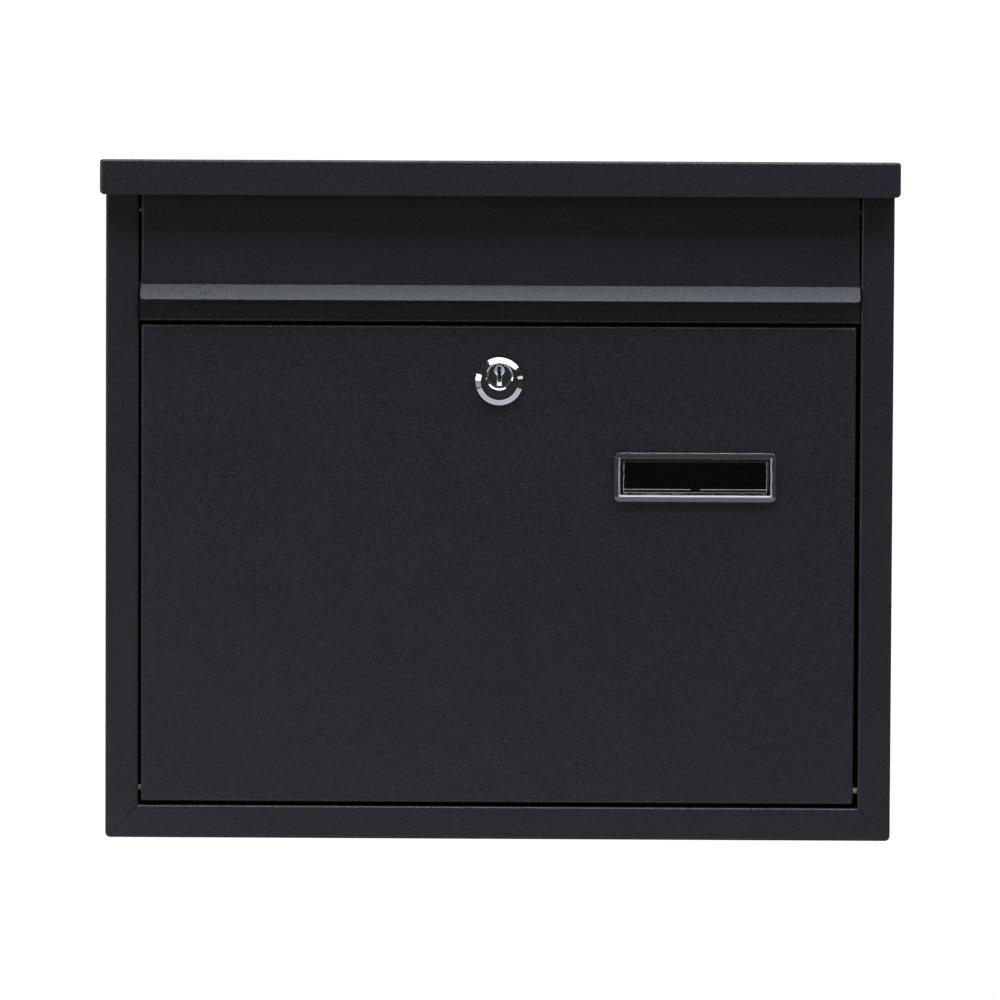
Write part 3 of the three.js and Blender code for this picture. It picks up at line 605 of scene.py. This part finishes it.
# -------- housing
def body_shell():
    """Sides, underside and front frame folded from one sheet, slit along the mitres."""
    low, high = node_box("body_shell")
    width, face, frame_rear = SHELL["frame"], low.y + HALF_SHEET, low.y + SHELL["return"]
    fold = width - HALF_SHEET
    outline = sheet_outline([(HALF_SHEET, high.y), (HALF_SHEET, face), (fold, face), (fold, frame_rear)])
    rows = []
    for inset, depth in outline:
        path = u_path(low.x + inset, high.x - inset, low.z + inset, high.z, SHELL["corner"] - inset)
        rows.append(placed(path, front_view, depth))
    shell = piece_from("housing_shell", solid(loft, rows, wrap_rows=True, cap_ends=True))

    tools = bmesh.new()
    for side in (-1, 1):
        corner = Vector((side * (high.x - width), low.y, low.z + width))
        along = Vector((side, 0, -1)).normalized()
        half_slit = Vector((1, 0, side)).normalized() * MITRE["width"] / 2
        tip = corner + along * MITRE["share"] * width * math.sqrt(2)
        start = corner - along
        narrow = half_slit * MITRE["taper"]
        end = tip + along * MITRE["tip"]
        slit = (start - half_slit, tip - narrow, end, tip + narrow, start + half_slit)
        prism(tools, [(p.x, p.z) for p in slit], front_view, (low.y - 1, low.y + MITRE["depth"]))
    for x in (-DRAIN["x"], DRAIN["x"]):
        drill(tools, DRAIN["radius"], low.z - THROUGH, low.z + THROUGH, upright(x, DRAIN["y"]))
    for body in ("door", "flap"):
        hinge_bores(tools, body, (fold - high.x, high.x - fold))
    combine(shell, tools)

    hems = bmesh.new()
    top = high.z - SHELL["hem_drop"]
    for side in (-1, 1):
        left, right = sorted((side * (high.x - HALF_SHEET), side * (high.x - SHELL["hem"])))
        box(hems, (left, frame_rear, top - SHEET), (right, -BACK["flange"] - 1, top))
    combine(shell, hems, "UNION")
    finish_piece(shell, COAT, "housing", "body_shell")


def folded_tray(name, low, high, face, rim, corner):
    """A sheet with its four edges folded; face and rim are depths on its middle line."""
    middle, half = (low + high) / 2, half_size(low, high)
    rows = []
    for inset, depth in tray_outline([(CAP_INSET, face), (HALF_SHEET, face), (HALF_SHEET, rim)]):
        path = rounded_rectangle(middle, grown(half, -inset), corner - inset)
        rows.append(placed(path, front_view, depth))
    return piece_from(name, solid(loft, rows, wrap_points=True, cap_rows=True))


def back_panel():
    low, high = node_box("back_panel")
    panel = folded_tray("back_panel_sheet", low, high, high.y - HALF_SHEET, low.y, BACK["corner"])
    tools = bmesh.new()
    for x in (-WALL_HOLES["x"], WALL_HOLES["x"]):
        for z in (-WALL_HOLES["z"], WALL_HOLES["z"]):
            drill(tools, WALL_HOLES["radius"], high.y - THROUGH, high.y + THROUGH, about(x, z), 40)
    combine(panel, tools)
    finish_piece(panel, COAT, "housing", "back_panel")


def lower_corners(low, high, radius, rear):
    """Tools that round the two lower corners of a part's front."""
    tools = bmesh.new()
    for side, x in ((-1, low.x), (1, high.x)):
        centre = (x - side * radius, low.z + radius)
        outside = x + side * THROUGH
        quarter = arc(centre, radius, 270, 270 + side * 90, 10)
        outline = quarter + [(outside, centre[1]), (outside, low.z - THROUGH), (centre[0], low.z - THROUGH)]
        prism(tools, outline, front_view, (low.y - THROUGH, rear))
    return tools


def canopy():
    """Roof with a rounded front lip and shorter lips at its sides."""
    low, high = node_box("canopy")
    outline = tray_outline([(CAP_INSET, high.z - HALF_SHEET), (HALF_SHEET, high.z - HALF_SHEET),
                            (HALF_SHEET, low.z)], CANOPY["front_bend"])
    rows = []
    for inset, height in outline:
        path = u_path(low.x + inset, high.x - inset, low.y + inset, high.y, CANOPY["corner"] - inset)
        rows.append(placed(path, plan_view, height))
    bm = bmesh.new()
    grid = loft(bm, rows, cap_rows=True, cap_ends=True)
    bm.faces.new((grid[0][0], grid[0][-1], grid[-1][-1], grid[-1][0]))
    roof = piece_from("canopy_sheet", bm)

    side_bottom = high.z - CANOPY["side_lip"]
    side_start = low.y + CANOPY["side_start"]
    tools = bmesh.new()
    for x in (low.x, high.x):
        box(tools, (x - THROUGH, side_start, low.z - THROUGH), (x + THROUGH, high.y + THROUGH, side_bottom))
    combine(roof, tools)
    combine(roof, lower_corners(low, high, CANOPY["lip_corner"], side_start + 1))
    finish_piece(roof, COAT, "housing", "canopy")


def cross_rail():
    """Channel between flap and door, with the cam's strike and a tab at each end."""
    low, high = node_box("cross_rail")
    web, strike = low.y + HALF_SHEET, high.y - HALF_SHEET
    flange = low.z + RAIL["strike_drop"] + HALF_SHEET
    outline = sheet_outline([
        (web + RAIL["ledge"], high.z - HALF_SHEET), (web, high.z - HALF_SHEET), (web, flange),
        (strike, flange), (strike, low.z)])
    rail = piece_from("cross_rail_channel", solid(prism, outline, side_view, (low.x, high.x)))
    tabs = bmesh.new()
    inset = RAIL["tab_inset"]
    for x in (low.x, high.x - SHEET):
        box(tabs, (x + inset, web, flange + BEND), (x + SHEET - inset, low.y + RAIL["tab"], high.z - BEND))
    combine(rail, tabs, "UNION")
    finish_piece(rail, COAT, "housing", "cross_rail")


body_shell()
back_panel()
canopy()
cross_rail()


# -------- flap
def flap_panel():
    """Face with folded ends, and the lip that turns outward along its lower edge."""
    low, high = node_box("flap_panel")
    middle = node_box("body_shell")[0].y + FLAP["setback"] + HALF_SHEET
    ear_bottom = hinge_of("flap").z - FLAP["ear_drop"]
    left, right = low.x + HALF_SHEET, high.x - HALF_SHEET
    face = sheet_outline([(left, high.y), (left, middle), (right, middle), (right, high.y)])
    panel = piece_from("letter_flap", solid(prism, face, plan_view, (ear_bottom, high.z)))
    tip = low.z + FLAP["edge_rise"]
    lip = sheet_outline([(middle, ear_bottom + BEND), (middle, tip + FLAP_LIP["height"]),
                         (middle - FLAP_LIP["reach"], tip)], FLAP_LIP["bend"], FLAP_LIP["bend_steps"])
    combine(panel, solid(prism, lip, side_view, (low.x, high.x)), "UNION")
    lip_low = low + Vector((0, 0, FLAP["edge_rise"]))
    combine(panel, lower_corners(lip_low, high, FLAP["corner"], high.y + THROUGH))
    combine(panel, solid(hinge_bores, "flap", (low.x, high.x)))
    finish_piece(panel, COAT, "flap", "flap_panel")


def hinge_pin(body, side):
    """Rounded head inside the folded end, grooved shank, rounded tip outside."""
    node = f"{body}_pin_{'left' if side < 0 else 'right'}"
    low, high = node_box(node)
    hinge = hinge_of(body)
    radius, head, chamfer = HINGE_PINS[body], (high.z - low.z) / 2, PIN["chamfer"]
    inner, tip = (high.x, low.x) if side < 0 else (low.x, high.x)
    length = abs(tip - inner)
    profile = [(0.0, 0.0)]
    profile += arc((head - PIN["head_round"], PIN["head_round"]), PIN["head_round"], -90, 0, 5)
    profile += [(head, PIN["head"]), (radius + chamfer, PIN["head"]), (radius, PIN["head"] + chamfer)]
    waist = radius - chamfer
    profile += zip((radius, waist, waist, radius), [length * share for share in PIN_GROOVE])
    profile += arc((radius - PIN["tip_round"], length - PIN["tip_round"]), PIN["tip_round"], 0, 90, 5)
    profile += [(0.0, length)]
    placed = [(r, inner + side * depth) for r, depth in profile]
    pin = piece_from(node + "_steel", solid(lathe, placed, across(hinge.y, hinge.z), 40))
    finish_piece(pin, PIN_ZINC_PAINTED_BRIGHT, body, node)


flap_panel()
hinge_pin("flap", -1)
hinge_pin("flap", 1)


# -------- door
def door_panel():
    """Folded tray with holes for lock, name plate and hinges, and notched corners."""
    low, high = node_box("door_panel")
    door = folded_tray("front_door", low, high, low.y + HALF_SHEET, high.y, DOOR["corner"])
    face = (low.y - THROUGH, low.y + 3)

    tools = bmesh.new()
    hole_radius = THREAD["radius"] + GAP
    flat_angle = math.degrees(math.acos((FLAT + GAP) / hole_radius))
    hole = arc((LOCK.x, LOCK.z), hole_radius, flat_angle, 180 - flat_angle, 24)
    hole += arc((LOCK.x, LOCK.z), hole_radius, 180 + flat_angle, 360 - flat_angle, 24)
    prism(tools, hole, front_view, face)
    plate = centre_of("nameplate_window")
    prism(tools, rounded_rectangle(plate, grown(COLLAR["half"], GAP), DOOR["hole_corner"]), front_view, face)
    hinge_bores(tools, "door", (low.x, high.x))
    for x, side in ((low.x, 1), (high.x, -1)):
        for z, rise in ((low.z, 1), (high.z, -1)):
            start = Vector((x, z)) - Vector((side, rise)) * NOTCH["start"]
            inward = Vector((side, rise)).normalized()
            off = Vector((-inward.y, inward.x)) * NOTCH["half_width"]
            end = start + inward * NOTCH["end"]
            notch = [tuple(p) for p in (start - off, end - off, end + off, start + off)]
            prism(tools, notch, front_view, (low.y + NOTCH["depth"], high.y + 1))
    combine(door, tools)
    finish_piece(door, COAT, "door", "door_panel")


door_panel()
hinge_pin("door", -1)
hinge_pin("door", 1)


# -------- name plate
def window_loops(middle, loops):
    """Rounded rectangles about a middle, from (half size, growth, corner, depth)."""
    rows = []
    for half, growth, corner, depth in loops:
        rows.append(placed(rounded_rectangle(middle, grown(half, growth), corner), front_view, depth))
    return rows


def nameplate_window():
    """Clear moulding: rounded bezel, recessed pane, and a card pocket with two ledges."""
    low, high = node_box("nameplate_window")
    middle = (low + high) / 2
    front, rear, seat = low.y, high.y, low.y + PLATE["proud"]
    corner, soft, inner_corner = PLATE["corner"], PLATE["soft"], 0.3
    outer, pane, collar = half_size(low, high), PANE["half"], COLLAR["half"]
    pocket = grown(collar, -COLLAR["wall"])
    loops = [
        (pane, 0, PANE["corner"], front + PANE["recess"]),
        (pane, 0.06, PANE["corner"], front + 0.7 * PANE["recess"]),
        (pane, PANE["step"], 1.0, front + 0.05),
        (pane, PANE["step"] + 0.1, 1.1, front),
    ]
    for across_rim, drop in arc((1.0, 1.0), 1.0, 270, 180, 8):
        inset = across_rim * PLATE["bead"]
        loops.append((outer, -inset, corner - inset, front + drop * PLATE["rim"]))
    loops += [
        (outer, 0, corner, seat - soft),
        (outer, -soft, corner - soft, seat),
        (collar, 0, COLLAR["corner"], seat),
        (collar, 0, COLLAR["corner"], rear - soft),
        (collar, -soft, inner_corner, rear),
        (pocket, soft, COLLAR["corner"], rear),
        (pocket, 0, inner_corner, rear - soft),
        (pocket, 0, inner_corner, seat - 0.2),
    ]
    rows = window_loops(middle, loops)
    window = piece_from("nameplate_moulding", solid(loft, rows, wrap_points=True, cap_rows=True))
    ledges = bmesh.new()
    foot, root = middle.z - pocket[1], LEDGE["root"]
    half = LEDGE["thick"] / 2 - LEDGE["inset"]
    back = rear - 2 * LEDGE["inset"]
    section = arc((back - half, foot + LEDGE["height"] - half), half, 0, 180, 10)
    section += [(back - 2 * half, foot - root), (back, foot - root)]
    for side in (-1, 1):
        ends = (middle.x + side * LEDGE["notch"] / 2, middle.x + side * (pocket[0] + root))
        prism(ledges, section, side_view, ends)
    combine(window, ledges, "UNION")
    finish_piece(window, CLEAR, "door", "nameplate_window", edge=0.12)


def nameplate_retainer():
    """Black frame pushed over the window's collar behind the door."""
    low, high = node_box("nameplate_retainer")
    outer, hole = half_size(low, high), grown(COLLAR["half"], GAP)
    corner, soft, inner_corner = RETAINER["corner"], RETAINER["soft"], 0.1
    loops = [
        (outer, -soft, corner - soft, low.y),
        (outer, 0, corner, low.y + soft),
        (outer, 0, corner, high.y - soft),
        (outer, -soft, corner - soft, high.y),
        (hole, soft, soft, high.y),
        (hole, 0, inner_corner, high.y - soft),
        (hole, 0, inner_corner, low.y),
    ]
    retainer = ring_piece("nameplate_clip_frame", window_loops((low + high) / 2, loops))
    finish_piece(retainer, BLACK, "door", "nameplate_retainer", edge=0.1)


nameplate_window()
nameplate_retainer()


# -------- lock
def plug_block(half_x, half_z, front, rear):
    """A box about the plug's axis."""
    return solid(box, (PLUG.x - half_x, front, PLUG.z - half_z), (PLUG.x + half_x, rear, PLUG.z + half_z))


def pin_bores(start, end):
    """Tools for the row of upright bores that hold the pin stacks."""
    tools = bmesh.new()
    for i in range(PIN_COUNT):
        y = centre_of(f"driver_pin_{i + 1}").y
        drill(tools, PIN_RADIUS + PLAY, start, end, upright(PLUG.x, y), 24)
    return tools


def bezel_profile(front, seat, rear):
    """Turned outline of the barrel: flat face, crowned chamfer, rim and thread."""
    radius, face, slope, rings = (BEZEL[key] for key in ("radius", "face", "slope", "rings"))
    crest, root, pitch = THREAD["radius"], THREAD["radius"] - THREAD["depth"], THREAD["pitch"]
    profile = [(0, front), (face - 0.06, front), (face, front + 0.03)]
    for i in range(1, rings + 1):
        share = i / rings
        fall = slope * ((1 - BEZEL["crown"]) * share + BEZEL["crown"] * share * share)
        profile.append((face + (radius - 0.2 - face) * share, front + 0.05 + fall))
    profile += [(radius - 0.06, front + slope + 0.15), (radius, front + slope + 0.35),
                (radius, seat - 0.12), (radius - 0.12, seat), (root, seat)]
    y = seat + 0.6
    while y < rear - 1.0:
        profile += [(root, y), (crest, y + 0.4 * pitch), (crest, y + 0.55 * pitch)]
        y += pitch
    return profile + [(root, rear - 0.4), (crest - 0.8, rear), (0, rear)]


def lock_barrel():
    """Turned and chromed: bevelled bezel, threaded body with two flats, eccentric bore."""
    low, high = node_box("lock_barrel")
    front, rear = low.y, high.y
    seat, body_rear = front + BEZEL["height"], node_box("cam_stop_washer")[0].y - GAP
    profile = bezel_profile(front, seat, rear)
    barrel = piece_from("lock_cylinder_body", solid(lathe, profile, about(LOCK.x, LOCK.z), 128))

    mouth, bore, chamfer, stop = BORE["mouth"], BORE["radius"], BORE["chamfer"], STOP["radius"] + GAP
    profile = [(0, front - 1), (mouth + 0.2, front - 1), (mouth + 0.1, front), (mouth, front + 0.04),
               (bore + 0.06, front + chamfer - 0.07), (bore, front + chamfer), (bore, body_rear),
               (stop, body_rear), (stop, rear + 1), (0, rear + 1)]
    combine(barrel, solid(lathe, profile, about(PLUG.x, PLUG.z), 96))
    flats = bmesh.new()
    outside = 2 * BEZEL["radius"]
    for left, right in ((-outside, -FLAT), (FLAT, outside)):
        box(flats, (left, seat, LOCK.z - outside), (right, rear + THROUGH, LOCK.z + outside))
    combine(barrel, flats)
    sweep = CAM_TURN / 2 + math.degrees(math.asin(STOP["ear_width"] / 2 / STOP["radius"]))
    wedge = arc((PLUG.x, PLUG.z), 18, 180 - sweep, 180 + sweep, 16) + [(PLUG.x, PLUG.z)]
    combine(barrel, solid(prism, wedge, front_view, (body_rear, rear + THROUGH)))
    combine(barrel, pin_bores(node_box("pin_spring_1")[0].z - GAP, PLUG.z))
    finish_piece(barrel, TURNED_CHROME, "door", "lock_barrel", sharp=24)


def keyway_outline():
    """Front-view outline of the key slot about the plug's axis, with a ward on its right side."""
    half, ward = KEYWAY["width"] / 2, KEYWAY["width"] / 2 - KEYWAY["ward"]
    return [(PLUG.x + x, PLUG.z + z) for x, z in (
        (-half, KEYWAY["bottom"]), (half, KEYWAY["bottom"]), (half, WARD["low"] - WARD["slope"]),
        (ward, WARD["low"]), (ward, WARD["high"]), (half, WARD["high"] + WARD["slope"]),
        (half, KEYWAY["top"]), (-half, KEYWAY["top"]))]


def lock_plug():
    """Dished key entry, warded slot, ramp below it, and a square stud behind."""
    low, high = node_box("lock_plug")
    front = low.y
    body_rear = node_box("cam_stop_washer")[0].y - 0.15
    radius, soft = (high.x - low.x) / 2, 0.18
    axis = about(PLUG.x, PLUG.z)
    profile = [(0, front), (radius - soft, front), (radius - 0.05, front + 0.06), (radius, front + soft),
               (radius, body_rear - soft), (radius - soft, body_rear), (0, body_rear)]
    plug = piece_from("lock_core_plug", solid(lathe, profile, axis, 96))
    combine(plug, plug_block(STUD / 2, STUD / 2, body_rear - 0.3, high.y), "UNION")

    combine(plug, solid(prism, keyway_outline(), front_view, (front - THROUGH, front + KEYWAY["depth"])))
    entry, depth = KEY_ENTRY["radius"], KEY_ENTRY["depth"]
    profile = [(0, front - 1), (entry, front - 1), (entry, front + 0.02), *dome(entry, front, depth, 10),
               (0, front + depth)]
    combine(plug, solid(lathe, profile, about(PLUG.x, PLUG.z + KEY_ENTRY["rise"]), 64))
    foot, top, inside = PLUG.z + KEY_RAMP["foot"], PLUG.z + KEY_RAMP["top"], front + KEY_RAMP["depth"]
    ramp = [(front - 1, foot), (front + 0.02, foot), (inside, PLUG.z + KEY_RAMP["heel"]), (inside, top),
            (front - 1, top)]
    sides = (PLUG.x - KEY_RAMP["half_width"], PLUG.x + KEY_RAMP["half_width"])
    combine(plug, solid(prism, ramp, side_view, sides))
    tools = pin_bores(PLUG.z - radius - THROUGH, PLUG.z + 0.1)
    drill(tools, SCREW["radius"] + PLAY, node_box("cam_screw")[0].y - GAP, high.y + 1, axis)
    combine(plug, tools)
    finish_piece(plug, PLUG_CHROME, "lock_core", "lock_plug", edge=0.05, sharp=30, segments=1)


def spring_rows(low, high, y):
    """Rings of the wire along a coil that stands on low.z and reaches high.z."""
    steps_per_turn = 20
    coil = (high.x - low.x) / 2 - SPRING_WIRE - 0.02
    count = SPRING_TURNS * steps_per_turn
    rise = high.z - low.z - 2 * SPRING_WIRE
    rows = []
    for step in range(count + 1):
        angle = math.tau * step / steps_per_turn
        out = Vector((math.cos(angle), math.sin(angle), 0))
        ahead = Vector((-out.y * coil, out.x * coil, rise / math.tau / SPRING_TURNS)).normalized()
        centre = Vector((PLUG.x, y, low.z + SPRING_WIRE + rise * step / count)) + out * coil
        up = ahead.cross(out)
        rows.append([centre + out * u + up * v for u, v in arc((0, 0), SPRING_WIRE, 0, 360, 8)[:-1]])
    return rows


def pin_stack(number):
    """Pointed key pin in the plug, driver pin and spring in the barrel."""
    name = f"key_pin_{number}"
    low, high = node_box(name)
    y = (low.y + high.y) / 2
    axis, point = upright(PLUG.x, y), KEY_PIN_POINT
    profile = [(0, low.z), (PIN_RADIUS - PIN_SOFT, low.z), (PIN_RADIUS, low.z + 0.3),
               (PIN_RADIUS, high.z - PIN_RADIUS + point), (point + 0.1, high.z - 0.08),
               (point - 0.1, high.z), (0, high.z)]
    finish_piece(piece_from(name + "_turned", solid(lathe, profile, axis, 32)), BRASS, "lock_core", name)

    name = f"driver_pin_{number}"
    low, high = node_box(name)
    shoulder = PIN_RADIUS - PIN_SOFT
    profile = [(0.0, low.z), *arc((shoulder, low.z + PIN_SOFT), PIN_SOFT, -90, 0, 5),
               *arc((shoulder, high.z - PIN_SOFT), PIN_SOFT, 0, 90, 5), (0.0, high.z)]
    finish_piece(piece_from(name + "_turned", solid(lathe, profile, axis, 32)), BRASS, "door", name)

    name = f"pin_spring_{number}"
    coil = solid(loft, spring_rows(*node_box(name), y), wrap_points=True, cap_rows=True)
    finish_piece(piece_from(name + "_coil", coil), SPRING, "door", name)


def polar_rows(centre, radii_and_depths, steps):
    """Closed rows about an axis along Y; each radius may be a function of the angle."""
    rows = []
    for radius, depth in radii_and_depths:
        row = []
        for i in range(steps):
            angle = math.tau * i / steps
            r = radius(angle) if callable(radius) else radius
            row.append(Vector((centre.x + r * math.cos(angle), depth, centre.z + r * math.sin(angle))))
        rows.append(row)
    return rows


def lock_nut():
    """Hexagon nut: corners turned off at both faces, thread inside."""
    low, high = node_box("lock_nut")
    apothem = (high.z - low.z) / 2
    bore, pitch = THREAD["radius"] + PLAY, THREAD["pitch"]
    corner = apothem / math.cos(math.pi / 6)

    def hexagon(satin_entry_painted_highlight):
        def radius(angle):
            within = (angle + math.pi / 6) % (math.pi / 3) - math.pi / 6
            return min(apothem / math.cos(math.pi / 6 - abs(within)), corner - satin_entry_painted_highlight)
        return radius

    loops = [(hexagon(1.0), low.y), (hexagon(0.35), low.y + 0.35), (hexagon(0), low.y + 0.75),
             (hexagon(0), high.y - 0.75), (hexagon(0.35), high.y - 0.35), (hexagon(1.0), high.y),
             (bore + 0.5, high.y)]
    y = high.y - 0.5
    while y > low.y + pitch:
        loops += [(bore, y), (bore, y - 0.2 * pitch), (bore + 0.35, y - 0.6 * pitch)]
        y -= pitch
    loops += [(bore, low.y + 0.5), (bore + 0.5, low.y)]
    nut = ring_piece("lock_hexagon_nut", polar_rows(LOCK, loops, 144))
    finish_piece(nut, ZINC, "door", "lock_nut", sharp=25)


def star_washer():
    """Thin ring whose outer teeth are twisted."""
    low, high = node_box("lock_star_washer")
    outer, bore = (high.x - low.x) / 2, THREAD["radius"] + PLAY
    middle, steps = (low.y + high.y) / 2, STAR["teeth"] * 12
    front, rear, root = middle - STAR["thick"], middle + STAR["thick"], outer - STAR["root"]

    def edge_radius(angle):
        share = (angle / math.tau * STAR["teeth"]) % 1
        return outer if share > STAR["gap"] else outer - STAR["tooth"]

    rows = polar_rows(LOCK, [(bore, front), (bore, rear), (root, rear), (edge_radius, rear),
                             (edge_radius, front), (root, front)], steps)
    for row in rows[3:5]:
        for i, point in enumerate(row):
            share = (i / steps * STAR["teeth"]) % 1
            if share > STAR["gap"]:
                point.y += STAR["twist"] * (1 if share > STAR["middle"] else -1)
    finish_piece(ring_piece("lock_star_washer_teeth", rows), ZINC, "door", "lock_star_washer", sharp=25)


def on_stud(name, outline, low, high):
    """A flat plate of the outline with the square hole that takes the plug's stud."""
    plate = piece_from(name, solid(prism, outline, front_view, (low.y, high.y)))
    half = STUD / 2 + PLAY
    combine(plate, plug_block(half, half, low.y - 1, high.y + 1))
    return plate


def stop_washer():
    """Round washer whose ear meets the ends of the barrel's wedge."""
    low, high = node_box("cam_stop_washer")
    half = STOP["ear_width"] / 2
    spread = math.degrees(math.asin(half / STOP["radius"]))
    outline = arc((0, 0), STOP["radius"], spread, 360 - spread, 64)
    outline += [(STOP["ear"], -half), (STOP["ear"], half)]
    turned = [Matrix.Rotation(math.radians(STOP["turn"]), 2) @ Vector(point) for point in outline]
    washer = on_stud("cam_stop_washer_sheet", [(PLUG.x + p.x, PLUG.z + p.y) for p in turned], low, high)
    finish_piece(washer, ZINC, "lock_core", "cam_stop_washer", edge=0.08)


def lock_cam():
    """Pressed steel cam: round hub on the stud, round tip that turns up behind the rail."""
    low, high = node_box("lock_cam")
    hub, tip = high.x - PLUG.x, CAM_TIP
    reach = PLUG.x - low.x - tip
    lean = math.degrees(math.asin((hub - tip) / reach))
    outline = arc((PLUG.x, PLUG.z), hub, -90 - lean, 90 + lean, 40)
    outline += arc((PLUG.x - reach, PLUG.z), tip, 90 + lean, 270 - lean, 24)
    cam = on_stud("lock_cam_arm", outline, low, high)
    finish_piece(cam, ZINC, "lock_core", "lock_cam", edge=0.25, segments=3)


def cam_washer():
    low, high = node_box("cam_washer")
    outer, bore, soft = (high.x - low.x) / 2, SCREW["radius"] + PLAY, 0.15
    loops = [(bore, low.y), (outer - soft, low.y), (outer, low.y + soft), (outer, high.y - soft),
             (outer - soft, high.y), (bore, high.y)]
    washer = ring_piece("cam_washer_ring", polar_rows(PLUG, loops, 72))
    finish_piece(washer, ZINC, "lock_core", "cam_washer")


def cam_screw():
    """Threaded screw with a domed, cross-slotted head."""
    low, high = node_box("cam_screw")
    radius, head, pitch, rim = SCREW["radius"], (high.x - low.x) / 2, SCREW["pitch"], SCREW["rim"]
    seat = high.y - SCREW["head"]
    profile = [(0, low.y), (radius - 0.5, low.y), (radius - 0.15, low.y + 0.4)]
    y = low.y + 0.4
    while y < seat - 2 * pitch:
        profile += [(radius, y + 0.35 * pitch), (radius - 0.25, y + 0.9 * pitch)]
        y += pitch
    profile += [(radius, seat - 0.3), (radius, seat), (head, seat), (head, seat + rim)]
    profile += dome(head, seat + rim, SCREW["head"] - rim, 15) + [(0, high.y)]
    screw = piece_from("cam_screw_cross_head", solid(lathe, profile, about(PLUG.x, PLUG.z), 64))
    long, short = CROSS_SLOT["long"], CROSS_SLOT["short"]
    for half_x, half_z in ((short, long), (long, short)):
        combine(screw, plug_block(half_x, half_z, high.y - CROSS_SLOT["depth"], high.y + 1))
    finish_piece(screw, ZINC, "lock_core", "cam_screw", sharp=30)


lock_barrel()
lock_plug()
for stack in range(PIN_COUNT):
    pin_stack(stack + 1)
lock_nut()
star_washer()
stop_washer()
lock_cam()
cam_washer()
cam_screw()


# -------- stage, light and camera
# Every light: place and target in metres, width and height, power in watts, colour.
WHITE = (1.0, 1.0, 1.0)
LIGHTS = {
    "overhead": ((0.42, -0.47, 1.25), (0.42, -0.22, 0.05), (2.15, 0.69), 22.4, (0.95, 1.0, 1.14)),
    "left_panel": ((-1.30, -0.60, 0.30), (0, -0.10, 0.12), (0.55, 0.36), 2.7, WHITE),
    "left_low": ((-1.30, -0.60, -0.12), (0, -0.10, -0.12), (0.55, 0.44), 0.25, WHITE),
    "right_strip": ((1.10, -0.60, 0.265), (0, -0.10, 0.15), (0.55, 0.15), 0.25, (1.0, 0.98, 0.95)),
    "low_left": ((-0.45, -0.65, -0.38), (-0.1, -0.10, -0.1), (0.4, 0.2), 0.25, WHITE),
    "rear_fill": ((-0.60, 1.30, 0.50), (0, 0, 0), (1.2, 0.9), 9.0, WHITE),
    "floor_strip": ((0.0, -0.53, -0.415), (0.0, -0.529, 0.2), (2.6, 0.70), 3.2, (0.97, 1.0, 1.05)),
}
FLOOR = {"level": -0.42, "half_width": 6.0}
SEEN = 1.05  # strength of the white that the camera sees
FLOOR_BOUNCE = 0.04  # strength of what the object gets from the floor and from the room
ROOM = 0.03
CAMERA = {"place": (0.0089, -1.900, 0.0642), "lens": 141.8, "sensor": 36.0,
          "yaw": 0.266, "pitch": -2.02, "roll": -0.270}


def seen_and_felt(tree, kind, felt, output):
    """White for the camera, and a dimmer, cooler glow for the object."""
    tree.nodes.clear()
    path = tree.nodes.new("ShaderNodeLightPath")
    mix = tree.nodes.new("ShaderNodeMixShader")
    tree.links.new(path.outputs["Is Camera Ray"], mix.inputs[0])
    glows = (((0.95, 0.98, 1.0), felt), (WHITE, SEEN))
    for socket, (colour, strength) in zip(mix.inputs[1:], glows):
        glow = tree.nodes.new(kind)
        glow.inputs["Color"].default_value = (*colour, 1.0)
        glow.inputs["Strength"].default_value = strength
        tree.links.new(glow.outputs[0], socket)
    tree.links.new(mix.outputs[0], tree.nodes.new(output).inputs["Surface"])


def floor():
    half = FLOOR["half_width"]
    corners = [(-half, -half), (half, -half), (half, half), (-half, half)]
    mesh = bpy.data.meshes.new("studio_floor")
    mesh.from_pydata([(x, y, FLOOR["level"]) for x, y in corners], [], [(0, 1, 2, 3)])
    material = bpy.data.materials.new("floor_white")
    material.use_nodes = True
    seen_and_felt(material.node_tree, "ShaderNodeEmission", FLOOR_BOUNCE, "ShaderNodeOutputMaterial")
    mesh.materials.append(material)
    obj = link_object("studio_floor", mesh)


def world():
    studio = bpy.data.worlds.new("studio")
    studio.use_nodes = True
    seen_and_felt(studio.node_tree, "ShaderNodeBackground", ROOM, "ShaderNodeOutputWorld")
    bpy.context.scene.world = studio


def area_light(name, place, target, size, power, colour):
    data = bpy.data.lights.new(name, "AREA")
    data.shape = "RECTANGLE"
    data.size, data.size_y = size
    data.energy = power
    data.color = colour
    light = link_object(name, data)
    light.location = place
    light.rotation_euler = (Vector(target) - Vector(place)).to_track_quat("-Z", "Y").to_euler()
    light.visible_camera = False


def camera():
    """The photograph's view: square on, from a little above the middle."""
    data = bpy.data.cameras.new("camera")
    data.lens, data.sensor_width = CAMERA["lens"], CAMERA["sensor"]
    viewer = link_object("camera", data)
    turn = Matrix.Translation(CAMERA["place"])
    for angle, axis in (("yaw", "Z"), ("pitch", "X"), ("roll", "Y")):
        turn = turn @ Matrix.Rotation(math.radians(CAMERA[angle]), 4, axis)
    viewer.matrix_world = turn @ Matrix.Rotation(math.radians(90), 4, "X")
    bpy.context.scene.camera = viewer


floor()
world()
for light_name, light in LIGHTS.items():
    area_light(light_name, *light)
camera()
bpy.context.scene.view_settings.view_transform = "Standard"
